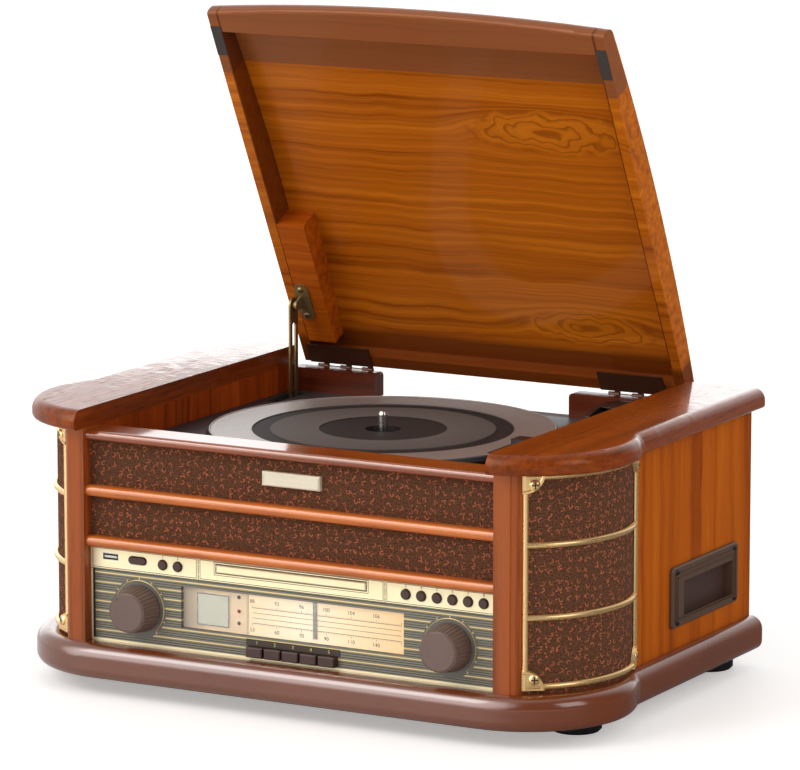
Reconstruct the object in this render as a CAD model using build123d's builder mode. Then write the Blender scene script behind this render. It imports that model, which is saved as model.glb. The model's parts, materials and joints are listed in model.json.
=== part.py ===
from build123d import *
from math import acos, asin, degrees, sqrt
import os

# Table-top music centre: a record deck under a lid that swings up, a tuner panel with knobs,
# keys and a disc drawer, and a tape slot in the right-hand side of a wooden cabinet.
# Millimetres, +X right, +Y back, +Z up, with the origin on the floor under the middle of the
# set as it stands with its lid open.

os.makedirs("parts", exist_ok=True)

# ---------------------------------------------------------------- driving dimensions
front_y = -167.4             # faces of the front posts
cabinet_depth = 328.0        # front posts to the back of the cabinet
clear = 0.3                  # gap between pieces that move past each other
shaft_clear = 0.05           # radial running clearance of shafts and pins
seat_clear = 0.02            # radial fit of pieces pressed together

# heights of the cabinet's courses
foot_height = 13.0
plinth_height = 27.0
body_height = 166.0
cap_height = 15.5

# plan of the plinth and of the two top caps
side_x = 243.2               # straight sides of the mouldings
corner_x = 167.7             # centre of a round front corner
corner_back = 72.4           # and how far it lies behind the posts
cap_corner_r = 85.7
plinth_corner_r = 84.2
hollow_r = 14.0              # hollow curve where the corner meets the side
plinth_top_r = 10.0
plinth_bottom_r = 8.0
cap_top_r = 9.0
cap_bottom_r = 3.2
foot_r = 19.5
foot_x = 208.0
foot_front = 75.0            # behind the posts
foot_inset = 24.0            # last foot's centre from the cabinet's back
foot_edge = 2.0

# cabinet walls and posts
panel_x = 231.8              # outer faces of the side panels
panel_t = 12.0
panel_start = 124.0          # their front edges behind the posts
well_x = 177.0               # half the width of the record well
well_wall_t = 12.0
post_flat = 13.6
post_depth = 22.0
bead_width = 5.9
bead_depth = 8.2
bead_groove = 1.5
back_t = 12.0

# round corner grilles
grille_x = 149.0             # centre of the curve
grille_back = 86.3           # and how far it lies behind the posts
grille_r = 91.4
grille_frame_t = 1.5
grille_cloth_t = 5.0
grille_edge = 3.4            # width of the frame's strips
grille_top_gap = 0.8         # frame below the cap
grille_bottom_gap = 2.7      # frame above the plinth
grille_bar_heights = (97.0, 151.6)
grille_bar_height = 4.6
grille_bar_flat = 2.0        # width of a bar's rounded front
grille_bar_proud = 1.7
grille_ear_r = 14.5

# cloth, rails and ledge across the front
cloth_back = 10.0            # face of the cloth behind the posts
cloth_t = 3.0
upper_rail_drop = 53.0       # lower edge of the upper rail below the top of the posts
rail_height = 8.6
rail_depth = 8.0
rail_round = 4.2
ledge_drop = 1.6             # top of the ledge below the top of the posts
ledge_nose_height = 7.2
ledge_inset = 2.0            # nose behind the faces of the posts
ledge_back = 30.6            # back edge of the board behind the posts
ledge_clear = 1.6            # board above the platter
ledge_round = 3.4
badge_x = 2.1
badge_drop = 24.7            # its middle below the top of the posts
badge_size = (50.0, 11.0)
badge_t = 3.8
badge_edge = 0.7

# control panel
panel_face_back = 10.3       # its face behind the posts
control_t = 4.0
control_top = 113.5
trim_t = 0.6
trim_side = 1.3              # width of the trim's side strips
trim_bottom = 1.5
strip_height = 17.5          # metal strip that holds the buttons
strip_joints = (-81.1, 81.0)     # fine grooves that part the strip in three
strip_joint_width = 0.8

# knobs
knob_z = 68.3
volume_x = -134.0
tuning_x = 135.7
knob_base_r = 18.6
knob_face_r = 15.9
knob_rib_depth = 0.7
knob_rib_count = 36
knob_gap = 1.0               # behind the knob
knob_length = 19.0
knob_edge = 1.2
knob_shaft_r = 3.0
knob_shaft_length = 12.0
marker_r = 0.9
marker_depth = 0.5
marker_inset = 3.4
marker_angle = 128.0         # round from the right-hand side

# buttons, keys, switch, socket and drawer
button_z = 104.5
button_r = 4.0
button_x = (-112.6, -99.3, 98.7, 111.8, 125.0, 138.1, 151.2, 164.3)
button_proud = 2.4
button_length = 10.0
button_edge = 0.7
switch_x = -135.1
switch_z = 105.5
switch_size = (16.0, 6.0)
switch_proud = 2.0
socket_x = -159.3
socket_z = 106.2
socket_size = (14.4, 5.6)
socket_wall = 0.6
socket_depth = 12.0
tongue_size = (11.0, 1.8)
drawer_x = -0.2
drawer_z = 106.6
drawer_clear = 1.0           # dark gap round the drawer's front
drawer_size = (129.8, 5.9)
drawer_depth = 138.0
drawer_proud = 1.4
disc_r = 60.5
disc_depth = 2.0
small_disc_r = 41.0
small_disc_depth = 3.0
disc_inset = 8.5             # drawer's front edge to the disc recess
disc_slot = (52.0, 34.0)
key_count = 5
key_x = 1.5                  # middle key
key_z = 46.1
key_pitch = 15.65
key_size = (14.2, 7.8)
key_proud = 6.0
key_length = 14.0
key_edge = 0.8

# tuning dial
dial_x = 0.0
dial_z = 73.4
dial_size = (193.4, 32.2)
dial_lip = 3.5               # dial plate behind the panel, past the window
dial_plate_t = 2.0
lens_t = 1.5
display_x = -69.9
display_size = (28.4, 25.0)
display_t = 1.2
lamp_x = -47.4
lamp_heights = (65.5, 74.8, 85.6)
lamp_r = 1.3
lamp_t = 0.8
pointer_x = 19.1
pointer_width = 3.7
pointer_t = 0.7
pointer_drop = 3.2           # pointer's foot above the window's lower edge

# tape slot in the right-hand panel
tape_inset = 81.4            # in front of the cabinet's back
tape_z = 76.6
tape_size = (86.3, 30.1)
tape_sleeve_t = 2.0
bezel_size = (117.0, 47.5)
bezel_inset = 85.9
bezel_z = 80.8
bezel_t = 3.0
bezel_round = 4.0
bezel_edge = 1.2
flap_t = 2.4
flap_inset = 4.0             # flap's face inside the panel's outer face
flap_pin_r = 1.5

# record deck
deck_drop = 20.5             # deck below the top of the cabinet's walls
deck_t = 5.5
platter_back = 153.0
platter_r = 137.0
platter_face_r = 134.5       # where the rim starts to slope down
platter_slope = 4.0          # height of the sloping rim
platter_lip = 0.6            # rim above the platter's face
platter_lift = 2.0           # skirt above the deck
platter_height = 10.3
platter_skirt = 5.0
platter_web_t = 3.5
groove_outer_r = 101.3
groove_inner_r = 87.3
groove_depth = 0.8
label_r = 49.3
label_step = 0.5
hub_dish_r = 14.0
hub_dish = 5.6
hub_r = 17.5
spindle_r = 3.6
spindle_shaft_r = 3.0
spindle_lift = 0.6           # its thick end above the floor of the hub
spindle_height = 25.5        # above the deck
spindle_depth = 15.0         # below the deck
spindle_dome = (1.0, 2.9)    # width and height of the rounded end's slope
spindle_tip = (2.2, 0.6)
bearing_r = 8.0
bearing_floor = 1.8
drive_rim_r = 62.0
drive_rim_t = 5.0
deck_gap = 0.6               # turning pieces above the deck
pulley_r = 6.0
pulley_shaft_r = 1.5
pulley_height = 3.9
pulley_angle = 135.0
motor_r = 17.0
motor_height = 28.0

# tone arm, levers and rest
arm_x = 145.0
arm_inset = 60.0             # in front of the cabinet's back
arm_height = 18.5            # above the deck
arm_tube_r = 3.0
arm_base_r = 15.0
arm_base_flange = 2.5
arm_column_r = 13.0
arm_column_height = 8.5
arm_shaft_r = 4.0
arm_shaft_length = 7.0
yoke_plate_t = 2.2
yoke_x = 8.5                 # inner faces of the two cheeks
cheek_t = 3.5
cheek_front = 32.0           # cheeks in front of the tilt pin
cheek_rear = 10.0
cheek_nose = (-5.0, 1.2)     # its lower and upper corner, above the tilt pin
cheek_crest = 6.2            # crown of the cheeks above the tilt pin
cheek_tail = 5.6
roof_front = 12.0            # roof between the cheeks, in front of the tilt pin
roof_under = 4.6             # and above it
tail_start = 16.5            # fixed housing behind the tilt pin
tail_length = 29.5
tail_width = 30.0
tail_heights = (3.8, 2.8, -0.2)  # its upper edge above the tilt pin
arm_pin_r = 1.5
arm_hub_r = 4.2
shell_front_back = 65.0      # its front edge behind the posts
shell_size = (16.0, 41.0)
shell_rise = (-3.2, 1.8)     # its lower and upper face above the tube's middle
shell_round = 2.0
clip_size = (12.0, 15.0)     # clip that joins the shell to the tube
clip_shift = 3.0             # to the left of the tube
clip_rise = (1.0, 5.2)       # below and above the tube's middle
cartridge_size = (11.0, 18.0)
cartridge_drop = 4.1         # its lower face below the tube's middle
rest_back = 140.0
rest_r = 4.0
lever_r = 5.0
lever_height = 4.0
lever_shaft_r = 2.5
lever_length = 18.0
lever_t = 2.0
lever_tip_r = 3.0
lift_place = (163.0, 215.0)  # X, and distance behind the posts
speed_place = (158.0, 46.0)

# lid, drawn closed and then swung up about its pin
lid_open_angle = 62.85
lid_clear = 0.43             # lower face of the closed lid above the cabinet's walls
lid_side_gap = 3.7           # between the lid's side and the cap
lid_wall_t = 9.0
lid_skin_t = 2.6
lid_depth = 346.0            # along the middle
lid_bow = 8.5                # the front edge's ends lie this much further back
lid_back_rail = 10.0
lid_front_rail = 26.2
lid_edge_height = 14.2
lid_crown_height = 24.3
lid_front_round = 9.0
lid_lip_round = 3.0
pad_along = 48.0             # from the lid's front edge
pad_length = 26.5
pad_width = 9.0
pad_t = 0.5
block_along = 21.0
block_length = 115.0
block_width = 24.8

# hinges
pin_overhang = 6.2           # hinge pin behind the cabinet
pin_back = 2.55              # pin behind the closed lid's back edge
pin_r = 1.1
knuckle_r = 2.2
leaf_t = 1.2
leaf_height = 14.0           # below the pin
leaf_reach = 17.5            # along the lid
hinge_length = 57.6
hinge_starts = (-167.6, 97.1)
knuckle_starts = (7.3, 28.0, 48.2)
knuckle_length = 9.4
hinge_block_spans = ((-177.0, -98.8), (77.3, 177.0))
hinge_block_drop = 1.1       # below the top of the cabinet's walls
hinge_block_t = 14.9
hinge_block_round = 3.0

# lid stay
stay_back_of_lid = 62.0      # pivot from the lid's back edge
stay_below = 8.2             # pivot below the lid's lower face
stay_inset = 9.05            # inside the lid's left side
stay_t = 1.5
stay_width = 12.7
stay_length = 95.0
stay_slot = (70.0, 5.5)
stay_slot_drop = 49.0        # slot's middle below the pivot
stay_pin_r = 2.0
stay_head_r = 3.4
stay_head_t = 1.0
bracket_inset = 15.0         # inside the lid's left side
bracket_size = (35.0, 13.0)
bracket_t = 1.5
bracket_along = 60.4
lug_inset = 13.8             # its inner face inside the lid's left side
lug_t = 2.0
lug_below = 12.2
lug_width = 12.0
stay_slot_sides = (3.3, 14.3)    # slot in the deck, inside the lid's left side
stay_slot_inset = (66.0, 20.0)   # its ends in front of the cabinet's back

# back of the cabinet
vent_size = (46.0, 3.0)
vent_grid = (70.0, 9.0)
vent_rows = 6
vent_z = 140.0
jack_x = 120.0
jack_z = 90.0
jack_pitch = 18.0
jack_r = 4.2
jack_bore_r = 1.6
jack_length = 8.0
gland_x = -150.0
gland_z = 70.0
gland_r = 7.0
gland_bore_r = 2.6
gland_length = 5.0

# ---------------------------------------------------------------- places worked out from them


def behind(distance):
    """Y of a place that lies this far behind the faces of the front posts."""
    return front_y + distance


def facing(distance):
    """Upright plane at that place, seen from the front, with local x to the right and y up."""
    return Plane.XZ.offset(-behind(distance))


back_y = behind(cabinet_depth)
plinth_top = foot_height + plinth_height
body_top = plinth_top + body_height
deck_height = body_top - deck_drop
deck_bottom = deck_height - deck_t
corner_y = behind(corner_back)
post_x = well_x + post_flat + bead_width
panel_inner_x = panel_x - panel_t
grille_y = behind(grille_back)
grille_end_y = behind(panel_start)
cloth_r = grille_r - grille_frame_t
grille_bottom = plinth_top + grille_bottom_gap
grille_top = body_top - grille_top_gap
ledge_top = body_top - ledge_drop
platter_y = behind(platter_back)
platter_bottom = deck_height + platter_lift
platter_top = platter_bottom + platter_height
platter_face = platter_top - platter_lip
platter_web_z = platter_face - platter_web_t
hub_floor = platter_face - hub_dish
ledge_bottom = platter_top + ledge_clear
spindle_bottom = deck_height - spindle_depth
spindle_start = hub_floor + spindle_lift
spindle_top = deck_height + spindle_height
spindle_wall_top = spindle_top - spindle_dome[1]
arm_y = back_y - arm_inset
arm_z = deck_height + arm_height
arm_column_top = deck_height + arm_column_height
shell_front = behind(shell_front_back)
shell_bottom, shell_top = arm_z + shell_rise[0], arm_z + shell_rise[1]
tape_y = back_y - tape_inset
strip_bottom = control_top - strip_height
lid_rest_z = body_top + lid_clear
lid_half_width = well_x - lid_side_gap
pin_y = back_y + pin_overhang
pin_z = lid_rest_z - knuckle_r
stay_x = stay_inset - lid_half_width
lug_x = lug_inset - lid_half_width
bracket_x = bracket_inset - lid_half_width
stay_slot_x = [side - lid_half_width for side in stay_slot_sides]
lid_back_y = pin_y - pin_back
pin_axis = Axis((0, pin_y, pin_z), (1, 0, 0))
crown_rise = lid_crown_height - lid_edge_height
crown_r = ((lid_depth / 2) ** 2 + crown_rise**2) / (2 * crown_rise)


# ---------------------------------------------------------------- shared shapes


def save(piece, name):
    """Label a finished piece and write it out."""
    piece.part.label = name
    export_step(piece.part, f"parts/{name}.step")


def block(x, y, z, mode=Mode.ADD):
    """A block between two limits along each axis, for the part being built."""
    with Locations(((x[0] + x[1]) / 2, (y[0] + y[1]) / 2, (z[0] + z[1]) / 2)):
        Box(x[1] - x[0], y[1] - y[0], z[1] - z[0], mode=mode)


def span(middle, size):
    """The two limits of a size laid out evenly about its middle."""
    return (middle - size / 2, middle + size / 2)


def moulding_plan(inner_x, corner_r):
    """Right-hand plan of a moulding: a round front corner that a hollow sets off from the side."""
    turn = degrees(acos((side_x + hollow_r - corner_x) / (corner_r + hollow_r)))
    begin = degrees(asin(max(inner_x - corner_x, 0) / corner_r))
    start = Vector(corner_x, corner_y) + Vector(0, -corner_r).rotate(Axis.Z, begin)
    with BuildSketch() as plan:
        with BuildLine():
            if inner_x < corner_x:
                Line((inner_x, start.Y), start)
            corner = JernArc(start, Vector(1, 0).rotate(Axis.Z, begin), corner_r, 90 + turn - begin)
            hollow = JernArc(corner @ 1, corner % 1, hollow_r, -turn)
            Polyline(hollow @ 1, (side_x, back_y), (inner_x, back_y), (inner_x, start.Y))
        make_face()
    return plan.sketch


def moulded_edges(piece, end, inner_x):
    """Curved and side edges at the top or bottom of a moulding, without its inner and back edges."""
    outline = piece.faces().sort_by(Axis.Z)[end].edges()
    return outline.filter_by(lambda edge: edge.center().Y < back_y - clear and edge.center().X > inner_x)


def grille_plan(outer, inner):
    """Plan of a curved strip from the post round to the side panel."""
    with BuildSketch() as strip:
        with Locations((grille_x, grille_y)):
            Circle(outer)
            Circle(inner, mode=Mode.SUBTRACT)
        with Locations((post_x, grille_end_y)):
            Rectangle(2 * outer, 2 * outer, align=(Align.MIN, Align.MAX), mode=Mode.INTERSECT)
    return strip.sketch


def strip_holes(gap, drawer_gap):
    """Openings in the metal strip, for its buttons, switch, socket and drawer."""
    with BuildSketch() as holes:
        with Locations(*[(x, button_z) for x in button_x]):
            Circle(button_r + gap)
        with Locations((switch_x, switch_z)):
            SlotOverall(switch_size[0] + 2 * gap, switch_size[1] + 2 * gap)
        with Locations((socket_x, socket_z)):
            Rectangle(*socket_size)
        with Locations((drawer_x, drawer_z)):
            Rectangle(drawer_size[0] + 2 * drawer_gap, drawer_size[1] + 2 * drawer_gap)
    return holes.sketch


def crown(along, depth=0):
    """Height of the lid's crown above its lower face, or of the curve that lies depth inside it."""
    return lid_crown_height - crown_r + sqrt((crown_r - depth) ** 2 - (along - lid_depth / 2) ** 2)


def lid_section(left_x, start, end, depth=0):
    """Side view of the closed lid at left_x, between two distances from its back edge."""
    middle = (start + end) / 2
    with BuildSketch(Plane.YZ.offset(left_x)) as section:
        with BuildLine():
            top = ThreePointArc(
                (lid_back_y - start, lid_rest_z + crown(start, depth)),
                (lid_back_y - middle, lid_rest_z + crown(middle, depth)),
                (lid_back_y - end, lid_rest_z + crown(end, depth)),
            )
            Polyline(top @ 1, (lid_back_y - end, lid_rest_z), (lid_back_y - start, lid_rest_z), top @ 0)
        make_face()
    return section.sketch


def swung_open(piece):
    """A piece of the closed lid, turned up about the hinge pin to where the lid stands."""
    return piece.part.rotate(pin_axis, -lid_open_angle)


# ---------------------------------------------------------------- plinth and feet
with BuildPart() as base_plinth:
    with BuildSketch(Plane.XY.offset(foot_height)):
        add(moulding_plan(0, plinth_corner_r))
        mirror(about=Plane.YZ)
    extrude(amount=plinth_height)
    fillet(moulded_edges(base_plinth, -1, -2 * side_x), plinth_top_r)
    fillet(moulded_edges(base_plinth, 0, -2 * side_x), plinth_bottom_r)
save(base_plinth, "base_plinth")

with BuildPart() as feet:
    with BuildSketch():
        foot_ys = (behind(foot_front), back_y - foot_inset)
        with Locations(*[(x, y) for x in (-foot_x, foot_x) for y in foot_ys]):
            Circle(foot_r)
    extrude(amount=foot_height)
    chamfer(feet.faces().group_by(Axis.Z)[0].edges(), foot_edge)
save(feet, "feet")

# ---------------------------------------------------------------- walls of the cabinet
with BuildPart() as side_panel_left:
    block((-panel_x, -panel_inner_x), (grille_end_y, back_y), (plinth_top, body_top))
save(side_panel_left, "side_panel_left")

with BuildPart() as side_panel_right:
    mirror(side_panel_left.part, about=Plane.YZ)
    sleeve_y = span(tape_y, tape_size[0] + 2 * tape_sleeve_t)
    sleeve_z = span(tape_z, tape_size[1] + 2 * tape_sleeve_t)
    block((panel_inner_x, panel_x), sleeve_y, sleeve_z, mode=Mode.SUBTRACT)
save(side_panel_right, "side_panel_right")

with BuildPart() as well_wall_right:
    block((well_x, well_x + well_wall_t), (behind(post_depth), back_y - back_t), (plinth_top, body_top))
save(well_wall_right, "well_wall_right")

with BuildPart() as well_wall_left:
    mirror(well_wall_right.part, about=Plane.YZ)
save(well_wall_left, "well_wall_left")

# a flat post with a round bead along its outer edge, set off by a groove
with BuildPart() as front_post_right:
    with BuildSketch(Plane.XY.offset(plinth_top)):
        with BuildLine():
            flat_end = (well_x + post_flat, front_y)
            groove_end = (well_x + post_flat + bead_groove / 2, front_y + bead_groove)
            TangentArc((post_x, front_y + bead_depth), groove_end, tangent=(0, -1))
            Polyline(
                groove_end,
                flat_end,
                (well_x, front_y),
                (well_x, behind(post_depth)),
                (post_x, behind(post_depth)),
                (post_x, front_y + bead_depth),
            )
        make_face()
    extrude(amount=body_height)
save(front_post_right, "front_post_right")

with BuildPart() as front_post_left:
    mirror(front_post_right.part, about=Plane.YZ)
save(front_post_left, "front_post_left")

with BuildPart() as top_cap_right:
    with BuildSketch(Plane.XY.offset(body_top)):
        add(moulding_plan(well_x, cap_corner_r))
    extrude(amount=cap_height)
    fillet(moulded_edges(top_cap_right, -1, well_x + clear), cap_top_r)
    fillet(moulded_edges(top_cap_right, 0, well_x + clear), cap_bottom_r)
save(top_cap_right, "top_cap_right")

with BuildPart() as top_cap_left:
    mirror(top_cap_right.part, about=Plane.YZ)
save(top_cap_left, "top_cap_left")

# the back board has an ear at each end that fills the corner under the cap
with BuildPart() as rear_panel:
    with BuildSketch(facing(cabinet_depth - back_t)):
        with BuildLine():
            ear = [(well_x, deck_height), (well_x, body_top), (panel_inner_x, body_top)]
            Polyline((0, deck_height), *ear, (panel_inner_x, plinth_top), (0, plinth_top), (0, deck_height))
        make_face()
        mirror(about=Plane.YZ)
        with Locations((0, vent_z)):
            with GridLocations(*vent_grid, 2, vent_rows):
                Rectangle(*vent_size, mode=Mode.SUBTRACT)
    extrude(amount=-back_t)
    jacks = [(jack_x + column * jack_pitch, jack_z + row * jack_pitch) for column in (0, 1) for row in (0, 1)]
    with BuildSketch(facing(cabinet_depth)):
        with Locations(*jacks):
            Circle(jack_r)
    extrude(amount=-jack_length)
    with BuildSketch(facing(cabinet_depth)):
        with Locations((gland_x, gland_z)):
            Circle(gland_r)
    extrude(amount=-gland_length)
    with BuildSketch(facing(cabinet_depth + jack_length)):
        with Locations(*jacks):
            Circle(jack_bore_r)
        with Locations((gland_x, gland_z)):
            Circle(gland_bore_r)
    extrude(amount=jack_length + back_t / 2, mode=Mode.SUBTRACT)
save(rear_panel, "rear_panel")

# ---------------------------------------------------------------- round corner grilles
with BuildPart() as grille_cloth_right:
    with BuildSketch(Plane.XY.offset(plinth_top)):
        add(grille_plan(cloth_r - seat_clear, cloth_r - grille_cloth_t))
    extrude(amount=body_height)
save(grille_cloth_right, "grille_cloth_right")

# bars with rounded fronts and corner ears, cut to the outside of the cloth
with BuildPart() as grille_bars:
    bar_plane = Plane((grille_x, grille_y, 0), x_dir=(1, 0, 0), z_dir=(0, -1, 0))
    with BuildSketch(bar_plane):
        with Locations(*[(cloth_r, height) for height in grille_bar_heights]):
            bar_section = [
                (0, -grille_bar_height / 2),
                (grille_frame_t, -grille_bar_height / 2),
                (grille_frame_t + grille_bar_proud, -grille_bar_flat / 2),
                (grille_frame_t + grille_bar_proud, grille_bar_flat / 2),
                (grille_frame_t, grille_bar_height / 2),
                (0, grille_bar_height / 2),
            ]
            Polygon(*bar_section, align=None)
    revolve(axis=Axis((grille_x, grille_y, 0), (0, 0, 1)))
    with BuildSketch(Plane.XY.offset(plinth_top)):
        add(grille_plan(grille_r + grille_bar_proud, cloth_r))
    extrude(amount=body_height, mode=Mode.INTERSECT)

with BuildPart() as grille_ears:
    with BuildSketch(Plane.XZ.offset(-grille_y)):
        with Locations((post_x, grille_bottom), (post_x, grille_top)):
            Circle(grille_ear_r)
    extrude(amount=grille_r)
    with BuildSketch(Plane.YZ.offset(grille_x)):
        with Locations((grille_end_y, grille_bottom), (grille_end_y, grille_top)):
            Circle(grille_ear_r)
    extrude(amount=grille_r)
    with BuildSketch(Plane.XY.offset(grille_bottom)):
        add(grille_plan(grille_r, cloth_r))
    extrude(amount=grille_top - grille_bottom, mode=Mode.INTERSECT)

with BuildPart() as grille_frame_right:
    with BuildSketch(Plane.XY.offset(grille_bottom)):
        add(grille_plan(grille_r, cloth_r))
    extrude(amount=grille_top - grille_bottom)
    block(
        (post_x + grille_edge, grille_x + 2 * grille_r),
        (grille_y - grille_r, grille_end_y - grille_edge),
        (grille_bottom + grille_edge, grille_top - grille_edge),
        mode=Mode.SUBTRACT,
    )
    add(grille_bars.part)
    add(grille_ears.part)
save(grille_frame_right, "grille_frame_right")

right_grilles = {"grille_cloth_left": grille_cloth_right, "grille_frame_left": grille_frame_right}
for left_name, right_piece in right_grilles.items():
    with BuildPart() as mirrored_grille:
        mirror(right_piece.part, about=Plane.YZ)
    save(mirrored_grille, left_name)

# ---------------------------------------------------------------- cloth, rails and ledge across the front
with BuildPart() as front_cloth:
    block((-well_x, well_x), (behind(cloth_back), behind(cloth_back + cloth_t)), (control_top, ledge_bottom))
save(front_cloth, "front_cloth")

with BuildPart() as front_rails:
    for lower_edge in (control_top, body_top - upper_rail_drop):
        with BuildSketch(Plane.YZ.offset(-well_x)) as rail_section:
            with Locations((behind(cloth_back), lower_edge)):
                Rectangle(rail_depth, rail_height, align=(Align.MAX, Align.MIN))
            fillet(rail_section.vertices().group_by(Axis.X)[0], rail_round)
        extrude(amount=2 * well_x)
save(front_rails, "front_rails")

with BuildPart() as front_ledge:
    with BuildSketch(Plane.YZ.offset(-well_x)) as ledge_section:
        with Locations((behind(ledge_inset), ledge_top)):
            Rectangle(cloth_back - ledge_inset, ledge_nose_height, align=(Align.MIN, Align.MAX))
            board_t = ledge_top - ledge_bottom
            Rectangle(ledge_back - ledge_inset, board_t, align=(Align.MIN, Align.MAX))
        fillet(ledge_section.vertices().group_by(Axis.X)[0], ledge_round)
    extrude(amount=2 * well_x)
save(front_ledge, "front_ledge")

with BuildPart() as badge_plate:
    with BuildSketch(facing(cloth_back)):
        with Locations((badge_x, body_top - badge_drop)):
            Rectangle(*badge_size)
    extrude(amount=badge_t)
    chamfer(badge_plate.faces().sort_by(Axis.Y)[0].edges(), badge_edge)
save(badge_plate, "badge_plate")

# ---------------------------------------------------------------- control panel and its trim
key_row = key_size[0] + (key_count - 1) * key_pitch
with BuildPart() as control_panel:
    with BuildSketch(facing(panel_face_back)):
        with Locations((0, plinth_top)):
            Rectangle(2 * well_x, control_top - plinth_top, align=(Align.CENTER, Align.MIN))
        add(strip_holes(clear, clear), mode=Mode.SUBTRACT)
        with Locations((dial_x, dial_z)):
            Rectangle(*dial_size, mode=Mode.SUBTRACT)
        with Locations((key_x, key_z)):
            Rectangle(key_row + 2 * clear, key_size[1] + 2 * clear, mode=Mode.SUBTRACT)
        with Locations((volume_x, knob_z), (tuning_x, knob_z)):
            Circle(knob_shaft_r + shaft_clear, mode=Mode.SUBTRACT)
    extrude(amount=-control_t)
save(control_panel, "control_panel")

with BuildPart() as panel_trim:
    with BuildSketch(facing(panel_face_back)):
        with Locations((0, plinth_top)):
            Rectangle(2 * well_x, control_top - plinth_top, align=(Align.CENTER, Align.MIN))
        with Locations((0, plinth_top + trim_bottom)):
            inner_height = strip_bottom - plinth_top - trim_bottom
            inner_width = 2 * (well_x - trim_side)
            Rectangle(inner_width, inner_height, align=(Align.CENTER, Align.MIN), mode=Mode.SUBTRACT)
        add(strip_holes(clear, drawer_clear), mode=Mode.SUBTRACT)
        with Locations(*[(x, control_top - strip_height / 2) for x in strip_joints]):
            Rectangle(strip_joint_width, strip_height, mode=Mode.SUBTRACT)
    extrude(amount=trim_t)
save(panel_trim, "panel_trim")

# ---------------------------------------------------------------- tuning dial
with BuildPart() as dial_plate:
    with BuildSketch(facing(panel_face_back + control_t)):
        with Locations((dial_x, dial_z)):
            Rectangle(dial_size[0] + 2 * dial_lip, dial_size[1] + 2 * dial_lip)
    extrude(amount=-dial_plate_t)
    with BuildSketch(facing(panel_face_back + control_t)):
        with Locations((display_x, dial_z)):
            Rectangle(*display_size)
    extrude(amount=display_t)
    with BuildSketch(facing(panel_face_back + control_t)):
        with Locations(*[(lamp_x, height) for height in lamp_heights]):
            Circle(lamp_r)
    extrude(amount=lamp_t)
save(dial_plate, "dial_plate")

with BuildPart() as dial_lens:
    with BuildSketch(facing(panel_face_back)):
        with Locations((dial_x, dial_z)):
            Rectangle(*dial_size)
    extrude(amount=-lens_t)
save(dial_lens, "dial_lens")

with BuildPart() as dial_pointer:
    with BuildSketch(facing(panel_face_back + control_t - clear)):
        with Locations((pointer_x, dial_z - dial_size[1] / 2 + pointer_drop)):
            pointer_height = dial_size[1] - pointer_drop - clear
            Rectangle(pointer_width, pointer_height, align=(Align.CENTER, Align.MIN))
    extrude(amount=pointer_t)
save(dial_pointer, "dial_pointer")


# ---------------------------------------------------------------- knobs, buttons, keys, switch, socket
def rib_corners(radius):
    """Corners of a knob's ribbed outline, which alternate between the ribs and the valleys."""
    turn = 180 / knob_rib_count
    reaches = [radius, radius - knob_rib_depth] * knob_rib_count
    return [Vector(reach, 0).rotate(Axis.Z, index * turn) for index, reach in enumerate(reaches)]


def make_knob(x, name, marker_angles):
    """Tapering ribbed knob with a smooth face, marker dimples and a shaft into the panel."""
    face = knob_gap + knob_length
    with BuildPart() as knob:
        for distance, radius in ((knob_gap, knob_base_r), (face - knob_edge, knob_face_r)):
            with BuildSketch(facing(panel_face_back - distance)):
                with Locations((x, knob_z)):
                    Polygon(*rib_corners(radius), align=None)
        loft(ruled=True)
        with BuildSketch(facing(panel_face_back - face + knob_edge)):
            with Locations((x, knob_z)):
                Circle(knob_face_r - knob_rib_depth)
        extrude(amount=knob_edge, taper=45)
        with BuildSketch(facing(panel_face_back - knob_gap)):
            with Locations((x, knob_z)):
                Circle(knob_shaft_r)
        extrude(amount=-knob_gap - knob_shaft_length)
        for angle in marker_angles:
            marker = Vector(x, knob_z) + Vector(knob_face_r - marker_inset, 0).rotate(Axis.Z, angle)
            with BuildSketch(facing(panel_face_back - face)):
                with Locations((marker.X, marker.Y)):
                    Circle(marker_r)
            extrude(amount=-marker_depth, mode=Mode.SUBTRACT)
    save(knob, name)


make_knob(volume_x, "volume_knob", [marker_angle])
make_knob(tuning_x, "tuning_knob", [])

for number, x in enumerate(button_x, start=1):
    with BuildPart() as button:
        with BuildSketch(facing(panel_face_back - button_proud)):
            with Locations((x, button_z)):
                Circle(button_r)
        extrude(amount=-button_length)
        chamfer(button.faces().sort_by(Axis.Y)[0].edges(), button_edge)
    save(button, f"button_{number}")

for number in range(key_count):
    with BuildPart() as key:
        with BuildSketch(facing(panel_face_back - key_proud)):
            with Locations((key_x + (number - (key_count - 1) / 2) * key_pitch, key_z)):
                Rectangle(*key_size)
        extrude(amount=-key_length)
        chamfer(key.faces().sort_by(Axis.Y)[0].edges(), key_edge)
    save(key, f"key_{number + 1}")

with BuildPart() as power_switch:
    with BuildSketch(facing(panel_face_back - switch_proud)):
        with Locations((switch_x, switch_z)):
            SlotOverall(*switch_size)
    extrude(amount=-button_length)
    chamfer(power_switch.faces().sort_by(Axis.Y)[0].edges(), button_edge)
save(power_switch, "power_switch")

with BuildPart() as usb_port:
    with BuildSketch(facing(panel_face_back - trim_t)):
        with Locations((socket_x, socket_z)):
            Rectangle(*socket_size)
    extrude(amount=-socket_depth)
    with BuildSketch(facing(panel_face_back - trim_t)):
        with Locations((socket_x, socket_z)):
            Rectangle(socket_size[0] - 2 * socket_wall, socket_size[1] - 2 * socket_wall)
            Rectangle(*tongue_size, mode=Mode.SUBTRACT)
    extrude(amount=socket_wall - socket_depth, mode=Mode.SUBTRACT)
save(usb_port, "usb_port")

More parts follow.
